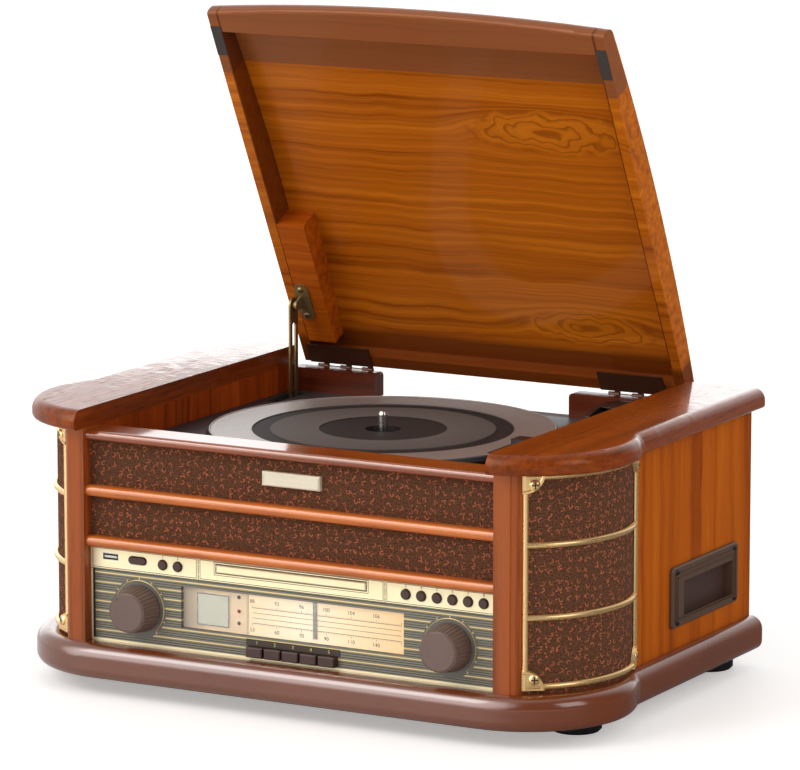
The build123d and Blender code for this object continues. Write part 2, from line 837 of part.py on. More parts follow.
# a loading drawer with a stepped recess for two sizes of disc
with BuildPart() as cd_drawer:
    drawer_front = behind(panel_face_back - drawer_proud)
    drawer_top = drawer_z + drawer_size[1] / 2
    disc_y = drawer_front + disc_inset + disc_r
    drawer_reach = (drawer_front, drawer_front + drawer_depth)
    block(span(drawer_x, drawer_size[0]), drawer_reach, span(drawer_z, drawer_size[1]))
    with BuildSketch(Plane.XY.offset(drawer_top)):
        with Locations((drawer_x, disc_y)):
            Circle(disc_r)
    extrude(amount=-disc_depth, mode=Mode.SUBTRACT)
    with BuildSketch(Plane.XY.offset(drawer_top)):
        with Locations((drawer_x, disc_y)):
            Circle(small_disc_r)
    extrude(amount=-small_disc_depth, mode=Mode.SUBTRACT)
    with BuildSketch(Plane.XY.offset(drawer_top)):
        with Locations(Location((drawer_x, disc_y + (disc_slot[0] - disc_slot[1]) / 2), 90)):
            SlotOverall(*disc_slot)
    extrude(amount=-drawer_size[1], mode=Mode.SUBTRACT)
    chamfer(cd_drawer.faces().sort_by(Axis.Y)[0].edges(), button_edge)
save(cd_drawer, "cd_drawer")

# ---------------------------------------------------------------- tape slot in the side
with BuildPart() as cassette_bezel:
    with BuildSketch(Plane.YZ.offset(panel_x)) as bezel_face:
        with Locations((back_y - bezel_inset, bezel_z)):
            RectangleRounded(*bezel_size, bezel_round)
    extrude(amount=bezel_t)
    chamfer(cassette_bezel.faces().sort_by(Axis.X)[-1].edges(), bezel_edge)
    with BuildSketch(Plane.YZ.offset(panel_inner_x)):
        with Locations((tape_y, tape_z)):
            Rectangle(tape_size[0] + 2 * tape_sleeve_t, tape_size[1] + 2 * tape_sleeve_t)
    extrude(amount=panel_t)
    with BuildSketch(Plane.YZ.offset(panel_inner_x)):
        with Locations((tape_y, tape_z)):
            Rectangle(*tape_size)
    extrude(amount=panel_t + bezel_t, mode=Mode.SUBTRACT)
    flap_pin_x = panel_x - flap_inset - flap_t / 2
    flap_pin_z = tape_z + tape_size[1] / 2 - clear - flap_t / 2
    with BuildSketch(Plane.XZ.offset(-sleeve_y[0])):
        with Locations((flap_pin_x, flap_pin_z)):
            Circle(flap_pin_r + shaft_clear)
    extrude(amount=sleeve_y[0] - sleeve_y[1], mode=Mode.SUBTRACT)
save(cassette_bezel, "cassette_bezel")

# a flap that hangs from pins in the sleeve's ends and swings inwards
with BuildPart() as cassette_flap:
    flap_y = span(tape_y, tape_size[0] - 2 * clear)
    with BuildSketch(Plane.XZ.offset(-flap_y[0])):
        with Locations((flap_pin_x, flap_pin_z)):
            Circle(flap_t / 2)
            flap_height = flap_pin_z - (tape_z - tape_size[1] / 2) - clear
            Rectangle(flap_t, flap_height, align=(Align.CENTER, Align.MAX))
    extrude(amount=flap_y[0] - flap_y[1])
    with BuildSketch(Plane.XZ.offset(-sleeve_y[0] - seat_clear)):
        with Locations((flap_pin_x, flap_pin_z)):
            Circle(flap_pin_r)
    extrude(amount=sleeve_y[0] - sleeve_y[1] + 2 * seat_clear)
save(cassette_flap, "cassette_flap")

# ---------------------------------------------------------------- record deck
pulley_reach = drive_rim_r + pulley_r + clear
pulley_place = Vector(0, platter_y) + Vector(pulley_reach, 0).rotate(Axis.Z, pulley_angle)
with BuildPart() as deck:
    block((-well_x, well_x), (behind(cloth_back + cloth_t), back_y - back_t), (deck_bottom, deck_height))
    with BuildSketch(Plane.XY.offset(deck_bottom)):
        with Locations((0, platter_y)):
            Circle(bearing_r)
    extrude(amount=spindle_bottom - deck_bottom - bearing_floor)
    with BuildSketch(Plane.XY.offset(deck_bottom)):
        with Locations(pulley_place):
            Circle(motor_r)
    extrude(amount=-motor_height)
    with BuildSketch(Plane.XY.offset(deck_height)):
        with Locations((arm_x, behind(rest_back))):
            Circle(rest_r)
    extrude(amount=arm_height - arm_tube_r - clear)
    with BuildSketch(Plane.XY.offset(spindle_bottom - clear)):
        with Locations((0, platter_y)):
            Circle(spindle_shaft_r + shaft_clear)
        with Locations(pulley_place):
            Circle(pulley_shaft_r + shaft_clear)
    extrude(amount=deck_height - spindle_bottom + clear, mode=Mode.SUBTRACT)
    with BuildSketch(Plane.XY.offset(deck_bottom)):
        with Locations(*[(x, behind(distance)) for x, distance in (lift_place, speed_place)]):
            Circle(lever_shaft_r + shaft_clear)
    extrude(amount=deck_t, mode=Mode.SUBTRACT)
    stay_slot_y = [back_y - inset for inset in stay_slot_inset]
    block(stay_slot_x, stay_slot_y, (deck_bottom, deck_height), Mode.SUBTRACT)
save(deck, "deck")

# a stepped platter, turned in section, with a sloping rim and a drive rim inside its skirt
with BuildPart() as platter:
    with BuildSketch(Plane.XZ.offset(-platter_y)):
        with BuildLine():
            bore = spindle_shaft_r + seat_clear
            lip_r = platter_face_r - platter_lip
            Polyline(
                (bore, deck_height + deck_gap),
                (hub_r, deck_height + deck_gap),
                (hub_r, platter_web_z),
                (drive_rim_r - drive_rim_t, platter_web_z),
                (drive_rim_r - drive_rim_t, deck_height + deck_gap),
                (drive_rim_r, deck_height + deck_gap),
                (drive_rim_r, platter_web_z),
                (platter_r - platter_skirt, platter_web_z),
                (platter_r - platter_skirt, platter_bottom),
                (platter_r, platter_bottom),
                (platter_r, platter_top - platter_slope),
                (platter_face_r, platter_top),
                (lip_r, platter_top),
                (lip_r - platter_lip, platter_face),
                (groove_outer_r, platter_face),
                (groove_outer_r, platter_face - groove_depth),
                (groove_inner_r, platter_face - groove_depth),
                (groove_inner_r, platter_face),
                (label_r, platter_face),
                (label_r, platter_face - label_step),
                (hub_dish_r, platter_face - label_step),
                (hub_dish_r, hub_floor),
                (bore, hub_floor),
                close=True,
            )
        make_face()
    revolve(axis=Axis((0, platter_y, 0), (0, 0, 1)))
save(platter, "platter")

# the spindle stands on a shoulder just clear of the hub and ends in a rounded tip
with BuildPart() as spindle:
    with BuildSketch(Plane.XZ.offset(-platter_y)):
        with BuildLine():
            Polyline(
                (0, spindle_bottom),
                (spindle_shaft_r, spindle_bottom),
                (spindle_shaft_r, spindle_start),
                (spindle_r, spindle_start),
                (spindle_r, spindle_wall_top),
                (spindle_r - spindle_dome[0], spindle_top - spindle_tip[1]),
                (spindle_r - spindle_dome[0] - spindle_tip[0], spindle_top),
                (0, spindle_top),
                close=True,
            )
        make_face()
    revolve(axis=Axis((0, platter_y, 0), (0, 0, 1)))
save(spindle, "spindle")

with BuildPart() as motor_pulley:
    with BuildSketch(Plane.XY.offset(deck_height + deck_gap)):
        with Locations(pulley_place):
            Circle(pulley_r)
    extrude(amount=pulley_height)
    with BuildSketch(Plane.XY.offset(deck_bottom)):
        with Locations(pulley_place):
            Circle(pulley_shaft_r)
    extrude(amount=deck_t + deck_gap)
save(motor_pulley, "motor_pulley")

# ---------------------------------------------------------------- tone arm
with BuildPart() as tonearm_base:
    with BuildSketch(Plane.XY.offset(deck_height)):
        with Locations((arm_x, arm_y)):
            Circle(arm_base_r)
    extrude(amount=arm_base_flange)
    with BuildSketch(Plane.XY.offset(deck_height)):
        with Locations((arm_x, arm_y)):
            Circle(arm_column_r)
    extrude(amount=arm_column_top - deck_height)
    with BuildSketch(Plane.YZ.offset(arm_x - tail_width / 2)):
        with BuildLine():
            tail_y = (arm_y + tail_start, arm_y + tail_start + tail_length)
            tail_top = ThreePointArc(
                (tail_y[0], arm_z + tail_heights[0]),
                ((tail_y[0] + tail_y[1]) / 2, arm_z + tail_heights[1]),
                (tail_y[1], arm_z + tail_heights[2]),
            )
            flange_top = deck_height + arm_base_flange
            Polyline(
                tail_top @ 1,
                (tail_y[1], deck_height),
                (arm_y, deck_height),
                (arm_y, flange_top),
                (tail_y[0], flange_top),
                tail_top @ 0,
            )
        make_face()
    extrude(amount=tail_width)
    with BuildSketch(Plane.XY.offset(arm_column_top)):
        with Locations((arm_x, arm_y)):
            Circle(arm_shaft_r + shaft_clear)
    extrude(amount=-arm_shaft_length - clear, mode=Mode.SUBTRACT)
save(tonearm_base, "tonearm_base")

# a turning plate with two arched cheeks that carry the arm's tilt pin, and a roof between them
with BuildPart() as arm_gimbal:
    yoke_bottom = arm_column_top + clear
    yoke_top = yoke_bottom + yoke_plate_t
    with BuildSketch(Plane.XY.offset(yoke_bottom)):
        with Locations((arm_x, arm_y)):
            Circle(arm_column_r)
    extrude(amount=yoke_plate_t)
    with BuildSketch(Plane.XY.offset(yoke_bottom)):
        with Locations((arm_x, arm_y)):
            Circle(arm_shaft_r)
    extrude(amount=-arm_shaft_length)
    with BuildSketch(Plane.YZ.offset(arm_x - yoke_x - cheek_t), mode=Mode.PRIVATE) as cheek_side:
        with BuildLine():
            cheek_arch = ThreePointArc(
                (arm_y - cheek_front, arm_z + cheek_nose[1]),
                (arm_y - arm_pin_r, arm_z + cheek_crest),
                (arm_y + cheek_rear, arm_z + cheek_tail),
            )
            Polyline(
                cheek_arch @ 1,
                (arm_y + cheek_rear, yoke_bottom),
                (arm_y - cheek_rear, yoke_bottom),
                (arm_y - cheek_front, arm_z + cheek_nose[0]),
                cheek_arch @ 0,
            )
        make_face()
    extrude(cheek_side.sketch, amount=2 * (yoke_x + cheek_t))
    inside_x = span(arm_x, 2 * yoke_x)
    roof_y = arm_y - roof_front
    block(inside_x, (arm_y - cheek_front, roof_y), (yoke_top, arm_z + arm_height), mode=Mode.SUBTRACT)
    block(inside_x, (roof_y, arm_y + cheek_rear), (yoke_top, arm_z + roof_under), mode=Mode.SUBTRACT)
    with BuildSketch(Plane.YZ.offset(arm_x - yoke_x - cheek_t)):
        with Locations((arm_y, arm_z)):
            Circle(arm_pin_r + shaft_clear)
    extrude(amount=2 * (yoke_x + cheek_t), mode=Mode.SUBTRACT)
save(arm_gimbal, "arm_gimbal")

with BuildPart() as tonearm:
    shell_back = shell_front + shell_size[1]
    with BuildSketch(Plane.XZ.offset(shell_round - shell_back)):
        with Locations((arm_x, arm_z)):
            Circle(arm_tube_r)
    extrude(amount=shell_back - shell_round - arm_y)
    with BuildSketch(Plane.YZ.offset(arm_x - yoke_x + clear)):
        with Locations((arm_y, arm_z)):
            Circle(arm_hub_r)
    extrude(amount=2 * (yoke_x - clear))
    with BuildSketch(Plane.YZ.offset(arm_x - yoke_x - cheek_t)):
        with Locations((arm_y, arm_z)):
            Circle(arm_pin_r)
    extrude(amount=2 * (yoke_x + cheek_t))
    with BuildSketch(Plane.XY.offset(shell_bottom)):
        with Locations((arm_x, shell_front)):
            Rectangle(*shell_size, align=(Align.CENTER, Align.MIN))
    extrude(amount=shell_top - shell_bottom)
    fillet(tonearm.edges().filter_by(Axis.X).group_by(Axis.Y)[0], shell_round)
    with BuildSketch(Plane.XY.offset(shell_bottom)):
        with Locations((arm_x, shell_front + shell_round)):
            Rectangle(*cartridge_size, align=(Align.CENTER, Align.MIN))
    extrude(amount=arm_z - cartridge_drop - shell_bottom)
    clip_y = (shell_back, shell_back + clip_size[1])
    block(span(arm_x - clip_shift, clip_size[0]), clip_y, (arm_z - clip_rise[0], arm_z + clip_rise[1]))
save(tonearm, "tonearm")


def make_lever(place, name):
    """Small lever on the deck: a round cap on a shaft, with a finger that points forwards."""
    x, y = place[0], behind(place[1])
    lever_bottom = deck_height + clear
    with BuildPart() as lever:
        with BuildSketch(Plane.XY.offset(lever_bottom)):
            with Locations((x, y)):
                Circle(lever_r)
        extrude(amount=lever_height)
        with BuildSketch(Plane.XY.offset(lever_bottom + lever_height - lever_t)):
            with Locations((x, y)):
                Rectangle(lever_tip_r, lever_length, align=(Align.CENTER, Align.MAX))
            with Locations((x, y - lever_length)):
                Circle(lever_tip_r)
        extrude(amount=lever_t)
        with BuildSketch(Plane.XY.offset(deck_bottom)):
            with Locations((x, y)):
                Circle(lever_shaft_r)
        extrude(amount=deck_t + clear)
    save(lever, name)


make_lever(lift_place, "lift_lever")
make_lever(speed_place, "speed_lever")

# ---------------------------------------------------------------- lid
with BuildPart() as closed_lid:
    with BuildSketch(Plane.XY.offset(lid_rest_z)):
        with BuildLine():
            corner_edge = lid_back_y - lid_depth + lid_bow
            left_corner, right_corner = (-lid_half_width, corner_edge), (lid_half_width, corner_edge)
            ThreePointArc(left_corner, (0, lid_back_y - lid_depth), right_corner)
            Polyline(right_corner, (lid_half_width, lid_back_y), (-lid_half_width, lid_back_y), left_corner)
        make_face()
    extrude(amount=lid_crown_height)
    extrude(lid_section(-lid_half_width, 0, lid_depth), amount=2 * lid_half_width, mode=Mode.INTERSECT)
    front_face = closed_lid.faces().sort_by(Axis.Y)[0]
    fillet(front_face.edges().sort_by(Axis.Z)[-1], lid_front_round)
    fillet(closed_lid.faces().sort_by(Axis.Z)[0].edges().sort_by(Axis.Y)[0], lid_lip_round)
    cavity_end = lid_depth - lid_front_rail
    cavity = lid_section(lid_wall_t - lid_half_width, lid_back_rail, cavity_end, lid_skin_t)
    extrude(cavity, amount=2 * (lid_half_width - lid_wall_t), mode=Mode.SUBTRACT)

with BuildPart() as lid:
    add(swung_open(closed_lid))
save(lid, "lid")

with BuildPart() as closed_pads:
    pad_start = lid_back_y - lid_depth + pad_along
    for side in (-1, 1):
        pad_x = sorted((side * (lid_half_width - pad_width), side * lid_half_width))
        block(pad_x, (pad_start - pad_length, pad_start), (lid_rest_z - pad_t, lid_rest_z))

with BuildPart() as lid_pads:
    add(swung_open(closed_pads))
save(lid_pads, "lid_pads")

# a wooden block inside the lid that the stay is screwed to
with BuildPart() as closed_block:
    block_end = block_along + block_length
    extrude(lid_section(lid_wall_t - lid_half_width, block_along, block_end, lid_skin_t), amount=block_width)

with BuildPart() as lid_block:
    add(swung_open(closed_block))
save(lid_block, "lid_block")

# ---------------------------------------------------------------- hinges
# Each short knuckle seen from behind is two halves: the outer turns with the cabinet's leaf and
# the inner with the lid's, so the leaf between them can be cut away.
half_length = (knuckle_length - clear) / 2


def knuckle_places(offset):
    """Start of every half knuckle that lies this far into its knuckle."""
    return [start + first + offset for start in hinge_starts for first in knuckle_starts]


cabinet_knuckles = knuckle_places(0)
lid_knuckles = knuckle_places(half_length + clear)

with BuildPart() as hinge_blocks:
    for block_span in hinge_block_spans:
        with BuildSketch(facing(pin_y - knuckle_r - front_y)) as block_face:
            with Locations((block_span[0], deck_height)):
                block_size = (block_span[1] - block_span[0], deck_drop - hinge_block_drop)
                Rectangle(*block_size, align=(Align.MIN, Align.MIN))
            fillet(block_face.vertices().group_by(Axis.Y)[-1], hinge_block_round)
        extrude(amount=hinge_block_t)
save(hinge_blocks, "hinge_blocks")

with BuildPart() as hinge_leaves_body:
    leaf_top = pin_z - knuckle_r - clear
    leaf_y = (pin_y - knuckle_r, pin_y - knuckle_r + leaf_t)
    for start in hinge_starts:
        block((start, start + hinge_length), leaf_y, (pin_z - leaf_height, leaf_top))
        with BuildSketch(Plane.YZ.offset(start + knuckle_starts[0])):
            with Locations((pin_y, pin_z)):
                Circle(pin_r)
        extrude(amount=knuckle_starts[-1] + knuckle_length - knuckle_starts[0])
    for start in cabinet_knuckles:
        block((start, start + half_length), leaf_y, (leaf_top, pin_z))
        with BuildSketch(Plane.YZ.offset(start)):
            with Locations((pin_y, pin_z)):
                Circle(knuckle_r)
        extrude(amount=half_length)
save(hinge_leaves_body, "hinge_leaves_body")

# the lid's hinge leaves, and the oval plate and lug that carry the stay
with BuildPart() as closed_fittings:
    lid_leaf_z = (lid_rest_z - leaf_t, lid_rest_z)
    for start in hinge_starts:
        block((start, start + hinge_length), (lid_back_y - leaf_reach, lid_back_y), lid_leaf_z)
    for start in lid_knuckles:
        block((start, start + half_length), (lid_back_y, pin_y), lid_leaf_z)
        with BuildSketch(Plane.YZ.offset(start)):
            with Locations((pin_y, pin_z)):
                Circle(knuckle_r)
        extrude(amount=half_length)
    for start in lid_knuckles:
        with BuildSketch(Plane.YZ.offset(start)):
            with Locations((pin_y, pin_z)):
                Circle(pin_r + shaft_clear)
        extrude(amount=half_length, mode=Mode.SUBTRACT)
    with BuildSketch(Plane.XY.offset(lid_rest_z)):
        with Locations(Location((bracket_x, lid_back_y - bracket_along), 90)):
            SlotOverall(*bracket_size)
    extrude(amount=-bracket_t)
    stay_pivot = (lid_back_y - stay_back_of_lid, lid_rest_z - stay_below)
    with BuildSketch(Plane.YZ.offset(lug_x)):
        with Locations(stay_pivot):
            Circle(lug_below - stay_below)
        with Locations((stay_pivot[0], lid_rest_z)):
            Rectangle(lug_width, bracket_t, align=(Align.CENTER, Align.MAX))
        with Locations(stay_pivot):
            Rectangle(2 * (lug_below - stay_below), stay_below, align=(Align.CENTER, Align.MIN))
    extrude(amount=-lug_t)
    with BuildSketch(Plane.YZ.offset(stay_x + stay_t / 2 + clear)):
        with Locations(stay_pivot):
            Circle(stay_head_r)
    extrude(amount=lug_x - lug_t - stay_x - stay_t / 2 - clear)
    head_x = stay_x - stay_t / 2 - clear - stay_head_t
    with BuildSketch(Plane.YZ.offset(head_x)):
        with Locations(stay_pivot):
            Circle(stay_pin_r)
    extrude(amount=lug_x - head_x)
    with BuildSketch(Plane.YZ.offset(head_x)):
        with Locations(stay_pivot):
            Circle(stay_head_r)
    extrude(amount=stay_head_t)

with BuildPart() as lid_fittings:
    add(swung_open(closed_fittings))
save(lid_fittings, "lid_fittings")

# the stay hangs from the open lid's pivot through the slot in the deck
open_pivot = Vertex(0, *stay_pivot).rotate(pin_axis, -lid_open_angle).center()
with BuildPart() as stay_arm:
    with BuildSketch(Plane.YZ.offset(stay_x - stay_t / 2)):
        stay_height = stay_length + stay_width / 2
        with Locations(Location((open_pivot.Y, open_pivot.Z + (stay_width - stay_height) / 2), 90)):
            SlotOverall(stay_height, stay_width)
        with Locations(Location((open_pivot.Y, open_pivot.Z - stay_slot_drop), 90)):
            SlotOverall(*stay_slot, mode=Mode.SUBTRACT)
        with Locations((open_pivot.Y, open_pivot.Z)):
            Circle(stay_pin_r + shaft_clear, mode=Mode.SUBTRACT)
    extrude(amount=stay_t)
save(stay_arm, "stay_arm")
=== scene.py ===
import json
import math

import bmesh
import bpy
from mathutils import Matrix, Vector


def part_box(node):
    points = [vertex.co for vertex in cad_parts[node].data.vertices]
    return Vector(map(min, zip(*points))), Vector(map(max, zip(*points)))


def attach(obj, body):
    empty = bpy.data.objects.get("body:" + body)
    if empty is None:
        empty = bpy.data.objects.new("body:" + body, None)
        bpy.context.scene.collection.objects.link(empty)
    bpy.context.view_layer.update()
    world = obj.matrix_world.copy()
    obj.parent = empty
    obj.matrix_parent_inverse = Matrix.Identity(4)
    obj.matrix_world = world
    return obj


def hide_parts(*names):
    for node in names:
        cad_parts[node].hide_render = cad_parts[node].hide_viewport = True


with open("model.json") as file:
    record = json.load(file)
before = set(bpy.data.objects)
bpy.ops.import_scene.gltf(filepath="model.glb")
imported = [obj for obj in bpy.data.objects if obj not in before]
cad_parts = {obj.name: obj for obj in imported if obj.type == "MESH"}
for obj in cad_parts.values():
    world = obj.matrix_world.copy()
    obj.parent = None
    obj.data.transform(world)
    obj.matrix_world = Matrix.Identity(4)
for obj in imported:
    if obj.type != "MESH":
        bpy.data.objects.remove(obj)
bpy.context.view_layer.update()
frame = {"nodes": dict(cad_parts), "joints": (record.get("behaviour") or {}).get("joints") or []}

# ---------------- places read from the frame
panel_low, panel_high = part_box("control_panel")
trim_low, trim_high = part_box("panel_trim")
dial_low, dial_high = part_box("dial_lens")
platter_low, platter_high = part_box("platter")
_, lid_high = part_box("lid")
bezel_low, bezel_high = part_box("cassette_bezel")
post_low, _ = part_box("front_post_right")
volume_low, volume_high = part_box("volume_knob")
tuning_low, tuning_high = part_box("tuning_knob")
lid_joint = next(joint for joint in frame["joints"] if joint["name"] == "lid_hinge")
lid_pin = Vector(lid_joint["pos_m"])
lid_angle = math.radians(lid_joint["range_deg"][1])

PLATTER_X = (platter_low.x + platter_high.x) / 2
PLATTER_Y = (platter_low.y + platter_high.y) / 2
PLATTER_R = (platter_high.x - platter_low.x) / 2
LABEL_R, GROOVE_INNER, GROOVE_OUTER, FACE_R = 0.360, 0.637, 0.739, 0.982  # shares of that radius
RING_EDGE = 0.004  # width of the edge between two of its rings
VOLUME_X = (volume_low.x + volume_high.x) / 2
TUNING_X = (tuning_low.x + tuning_high.x) / 2
KNOB_Z = (volume_low.z + volume_high.z) / 2
DIAL_Z = (dial_low.z + dial_high.z) / 2
GRILLE_X = 0.149  # centre of a round corner
GRILLE_R = 0.0899
GRILLE_Y = post_low.y + 0.0863
LINE_PITCH = 0.0075  # printed lines of the control panel
PLAIN_R = 0.0235
SCALE_X = -0.039  # left end of the tuning scale
LID_INSIDE = lid_high.x - 0.009  # inner face of the lid's end
LID_FRONT_RAIL, LID_REAR_RAIL = -0.284, -0.029  # inner edges of its rails, from the hinge
LID_TOP, LID_CROWN, LID_ARCH = 0.0265, -0.175, 0.339  # the lid's arch: height, middle and bend
LID_NOSE = -0.334  # its front edge's round part
LEAF_REACH = -0.030  # the hinge leaves end there
DISPLAY_X, DISPLAY_W, DISPLAY_H = -0.0699, 0.0142, 0.0125  # middle and half sizes

# ---------------- shader building


class Shader:
    """A material's node tree with short calls for the nodes that the finishes use."""

    def __init__(self, tree):
        self.tree = tree

    def node(self, kind, **settings):
        made = self.tree.nodes.new(kind)
        for name, value in settings.items():
            setattr(made, name, value)
        return made

    def feed(self, socket, value):
        """Link a socket to an output, or set it to a plain value."""
        if hasattr(value, "is_output"):
            self.tree.links.new(value, socket)
        else:
            socket.default_value = value

    def math(self, operation, a, b=0.0, clamp=False):
        made = self.node("ShaderNodeMath", operation=operation, use_clamp=clamp)
        self.feed(made.inputs[0], a)
        self.feed(made.inputs[1], b)
        return made.outputs[0]

    def plus(self, a, b, clamp=False):
        return self.math("ADD", a, b, clamp)

    def minus(self, a, b, clamp=False):
        return self.math("SUBTRACT", a, b, clamp)

    def times(self, a, b, clamp=False):
        return self.math("MULTIPLY", a, b, clamp)

    def most(self, a, b):
        return self.math("MAXIMUM", a, b)

    def square(self, value):
        return self.times(value, value)

    def reach(self, x, y):
        """The distance of a point from where both are 0."""
        return self.math("POWER", self.plus(self.square(x), self.square(y)), 0.5)

    def apart(self, a, b):
        """How far two values are from each other."""
        return self.math("ABSOLUTE", self.minus(a, b))

    def blend(self, amount, low, high):
        made = self.node("ShaderNodeMix", data_type="RGBA")
        self.feed(made.inputs["Factor"], amount)
        self.feed(made.inputs[6], low)
        self.feed(made.inputs[7], high)
        return made.outputs[2]

    def ramp(self, value, stops):
        """A colour ramp with (position, colour) stops."""
        made = self.node("ShaderNodeValToRGB")
        elements = made.color_ramp.elements
        while len(elements) < len(stops):
            elements.new(0.5)
        for element, (position, colour) in zip(elements, stops):
            element.position = position
            element.color = colour
        self.feed(made.inputs[0], value)
        return made.outputs[0]

    def steps(self, value, low, high):
        """A smooth step from 0 at low to 1 at high."""
        made = self.node("ShaderNodeMapRange", interpolation_type="SMOOTHSTEP")
        self.feed(made.inputs[0], value)
        made.inputs[1].default_value = low
        made.inputs[2].default_value = high
        return made.outputs[0]

    def place(self, turn=(0, 0, 0), shift=(0, 0, 0)):
        """The piece's own coordinates, turned and moved."""
        where = self.node("ShaderNodeTexCoord").outputs["Object"]
        made = self.node("ShaderNodeMapping")
        self.feed(made.inputs["Vector"], where)
        made.inputs["Rotation"].default_value = turn
        made.inputs["Location"].default_value = shift
        return made.outputs[0]

    def parts(self, vector):
        """The X, Y and Z of a vector or the red, green and blue of a colour."""
        made = self.node("ShaderNodeSeparateXYZ")
        self.feed(made.inputs[0], vector)
        return made.outputs[0], made.outputs[1], made.outputs[2]

    def vector(self, x, y, z):
        made = self.node("ShaderNodeCombineXYZ")
        for socket, value in zip(made.inputs, (x, y, z)):
            self.feed(socket, value)
        return made.outputs[0]

    def noise(self, vector, scale, detail=2.0, rough=0.5):
        made = self.node("ShaderNodeTexNoise")
        self.feed(made.inputs["Vector"], vector)
        self.feed(made.inputs["Scale"], scale)
        made.inputs["Detail"].default_value = detail
        made.inputs["Roughness"].default_value = rough
        return made.outputs[0]

    def cells(self, vector, scale):
        made = self.node("ShaderNodeTexVoronoi", voronoi_dimensions="2D")
        self.feed(made.inputs["Vector"], vector)
        made.inputs["Scale"].default_value = scale
        return made

    def bump(self, height, strength, distance):
        made = self.node("ShaderNodeBump")
        self.feed(made.inputs["Height"], height)
        made.inputs["Strength"].default_value = strength
        made.inputs["Distance"].default_value = distance
        return made.outputs[0]

    def use(self, group, **inputs):
        """A shared effect, placed with its own values."""
        made = self.node("ShaderNodeGroup", node_tree=group)
        for name, value in inputs.items():
            self.feed(made.inputs[name.replace("_", " ")], value)
        return made.outputs


def finish_of(name, build, **settings):
    """A material whose Principled BSDF has plain settings, and what build returns on its sockets."""
    material = bpy.data.materials.new(name)
    material.use_nodes = True
    shader = Shader(material.node_tree)
    surface = material.node_tree.nodes["Principled BSDF"]
    for socket, value in settings.items():
        surface.inputs[socket.replace("_", " ")].default_value = value
    for socket, value in build(shader).items():
        shader.feed(surface.inputs[socket], value)
    return material


def effect(name, inputs, outputs, build):
    """A shared node group with named sockets; build gets its shader, inputs and output node."""
    group = bpy.data.node_groups.new(name, "ShaderNodeTree")
    for socket, kind, value in inputs:
        made = group.interface.new_socket(socket, in_out="INPUT", socket_type=f"NodeSocket{kind}")
        if value is not None:
            made.default_value = value
    for socket, kind in outputs:
        group.interface.new_socket(socket, in_out="OUTPUT", socket_type=f"NodeSocket{kind}")
    shader = Shader(group)
    start = shader.node("NodeGroupInput")
    end = shader.node("NodeGroupOutput")
    for socket, value in build(shader, start.outputs).items():
        shader.feed(end.inputs[socket], value)
    return group


def rgb(red, green, blue):
    """A colour written as it looks on a screen, from 0 to 255, turned into the shader's scale."""
    shares = (value / 255 for value in (red, green, blue))
    return (*(((share + 0.055) / 1.055) ** 2.4 if share > 0.0393 else share / 12.92 for share in shares), 1)


def surface_of(shader, made, strength, distance):
    """Where a shared effect's outputs go on a surface, with its height as a bump."""
    normal = shader.bump(made["Height"], strength, distance)
    return {"Base Color": made["Color"], "Roughness": made["Roughness"], "Normal": normal}


# ---------------- shared effects
SURFACE = [("Color", "Color"), ("Roughness", "Float"), ("Height", "Float")]


def build_wood(shader, given):
    """Uneven growth lines along local X, with fine fibres and open pores over them."""
    along, _, deep = shader.parts(given["Vector"])
    across = given["Across"]

    def streaks(long, fine, depth):
        return shader.vector(shader.times(along, long), shader.times(across, fine), shader.times(deep, depth))

    waver = shader.noise(given["Vector"], 16.0, detail=2)
    bent = shader.plus(across, shader.times(waver, 0.012))
    lined, layered = shader.times(bent, given["Rings"]), shader.times(deep, given["Rings"])
    field = shader.vector(shader.times(along, 0.8), lined, layered)
    ring = shader.steps(shader.noise(field, 1.0, detail=4, rough=0.62), 0.34, 0.66)
    fibre = shader.noise(streaks(20, 1500, 1500), 1.0, detail=2, rough=0.6)
    patch = shader.noise(streaks(4, 22, 22), 1.0, detail=2)
    tone = shader.plus(shader.times(ring, given["Contrast"]), shader.times(patch, 0.45))
    tone = shader.plus(tone, shader.times(fibre, 0.4))
    tone = shader.minus(tone, 0.22, clamp=True)
    low = shader.blend(shader.steps(tone, 0.0, 0.4), given["Dark"], given["Middle"])
    colour = shader.blend(shader.steps(tone, 0.4, 0.85), low, given["Light"])
    pore = shader.steps(shader.noise(streaks(45, 950, 950), 1.0, detail=2, rough=0.6), 0.56, 0.66)
    depth = shader.times(pore, given["Pores"])
    colour = shader.blend(shader.times(depth, 0.7), colour, given["Dark"])
    rough = shader.plus(0.3, shader.times(depth, 0.25))
    return {"Color": colour, "Roughness": rough, "Height": shader.minus(1.0, depth)}


wood_effect = effect(
    "wood_grain",
    [
        ("Vector", "Vector", None),
        ("Across", "Float", 0.0),
        ("Light", "Color", rgb(200, 115, 45)),
        ("Middle", "Color", rgb(165, 85, 32)),
        ("Dark", "Color", rgb(90, 40, 18)),
        ("Rings", "Float", 110.0),
        ("Contrast", "Float", 0.4),
        ("Pores", "Float", 0.3),
    ],
    SURFACE,
    build_wood,
)


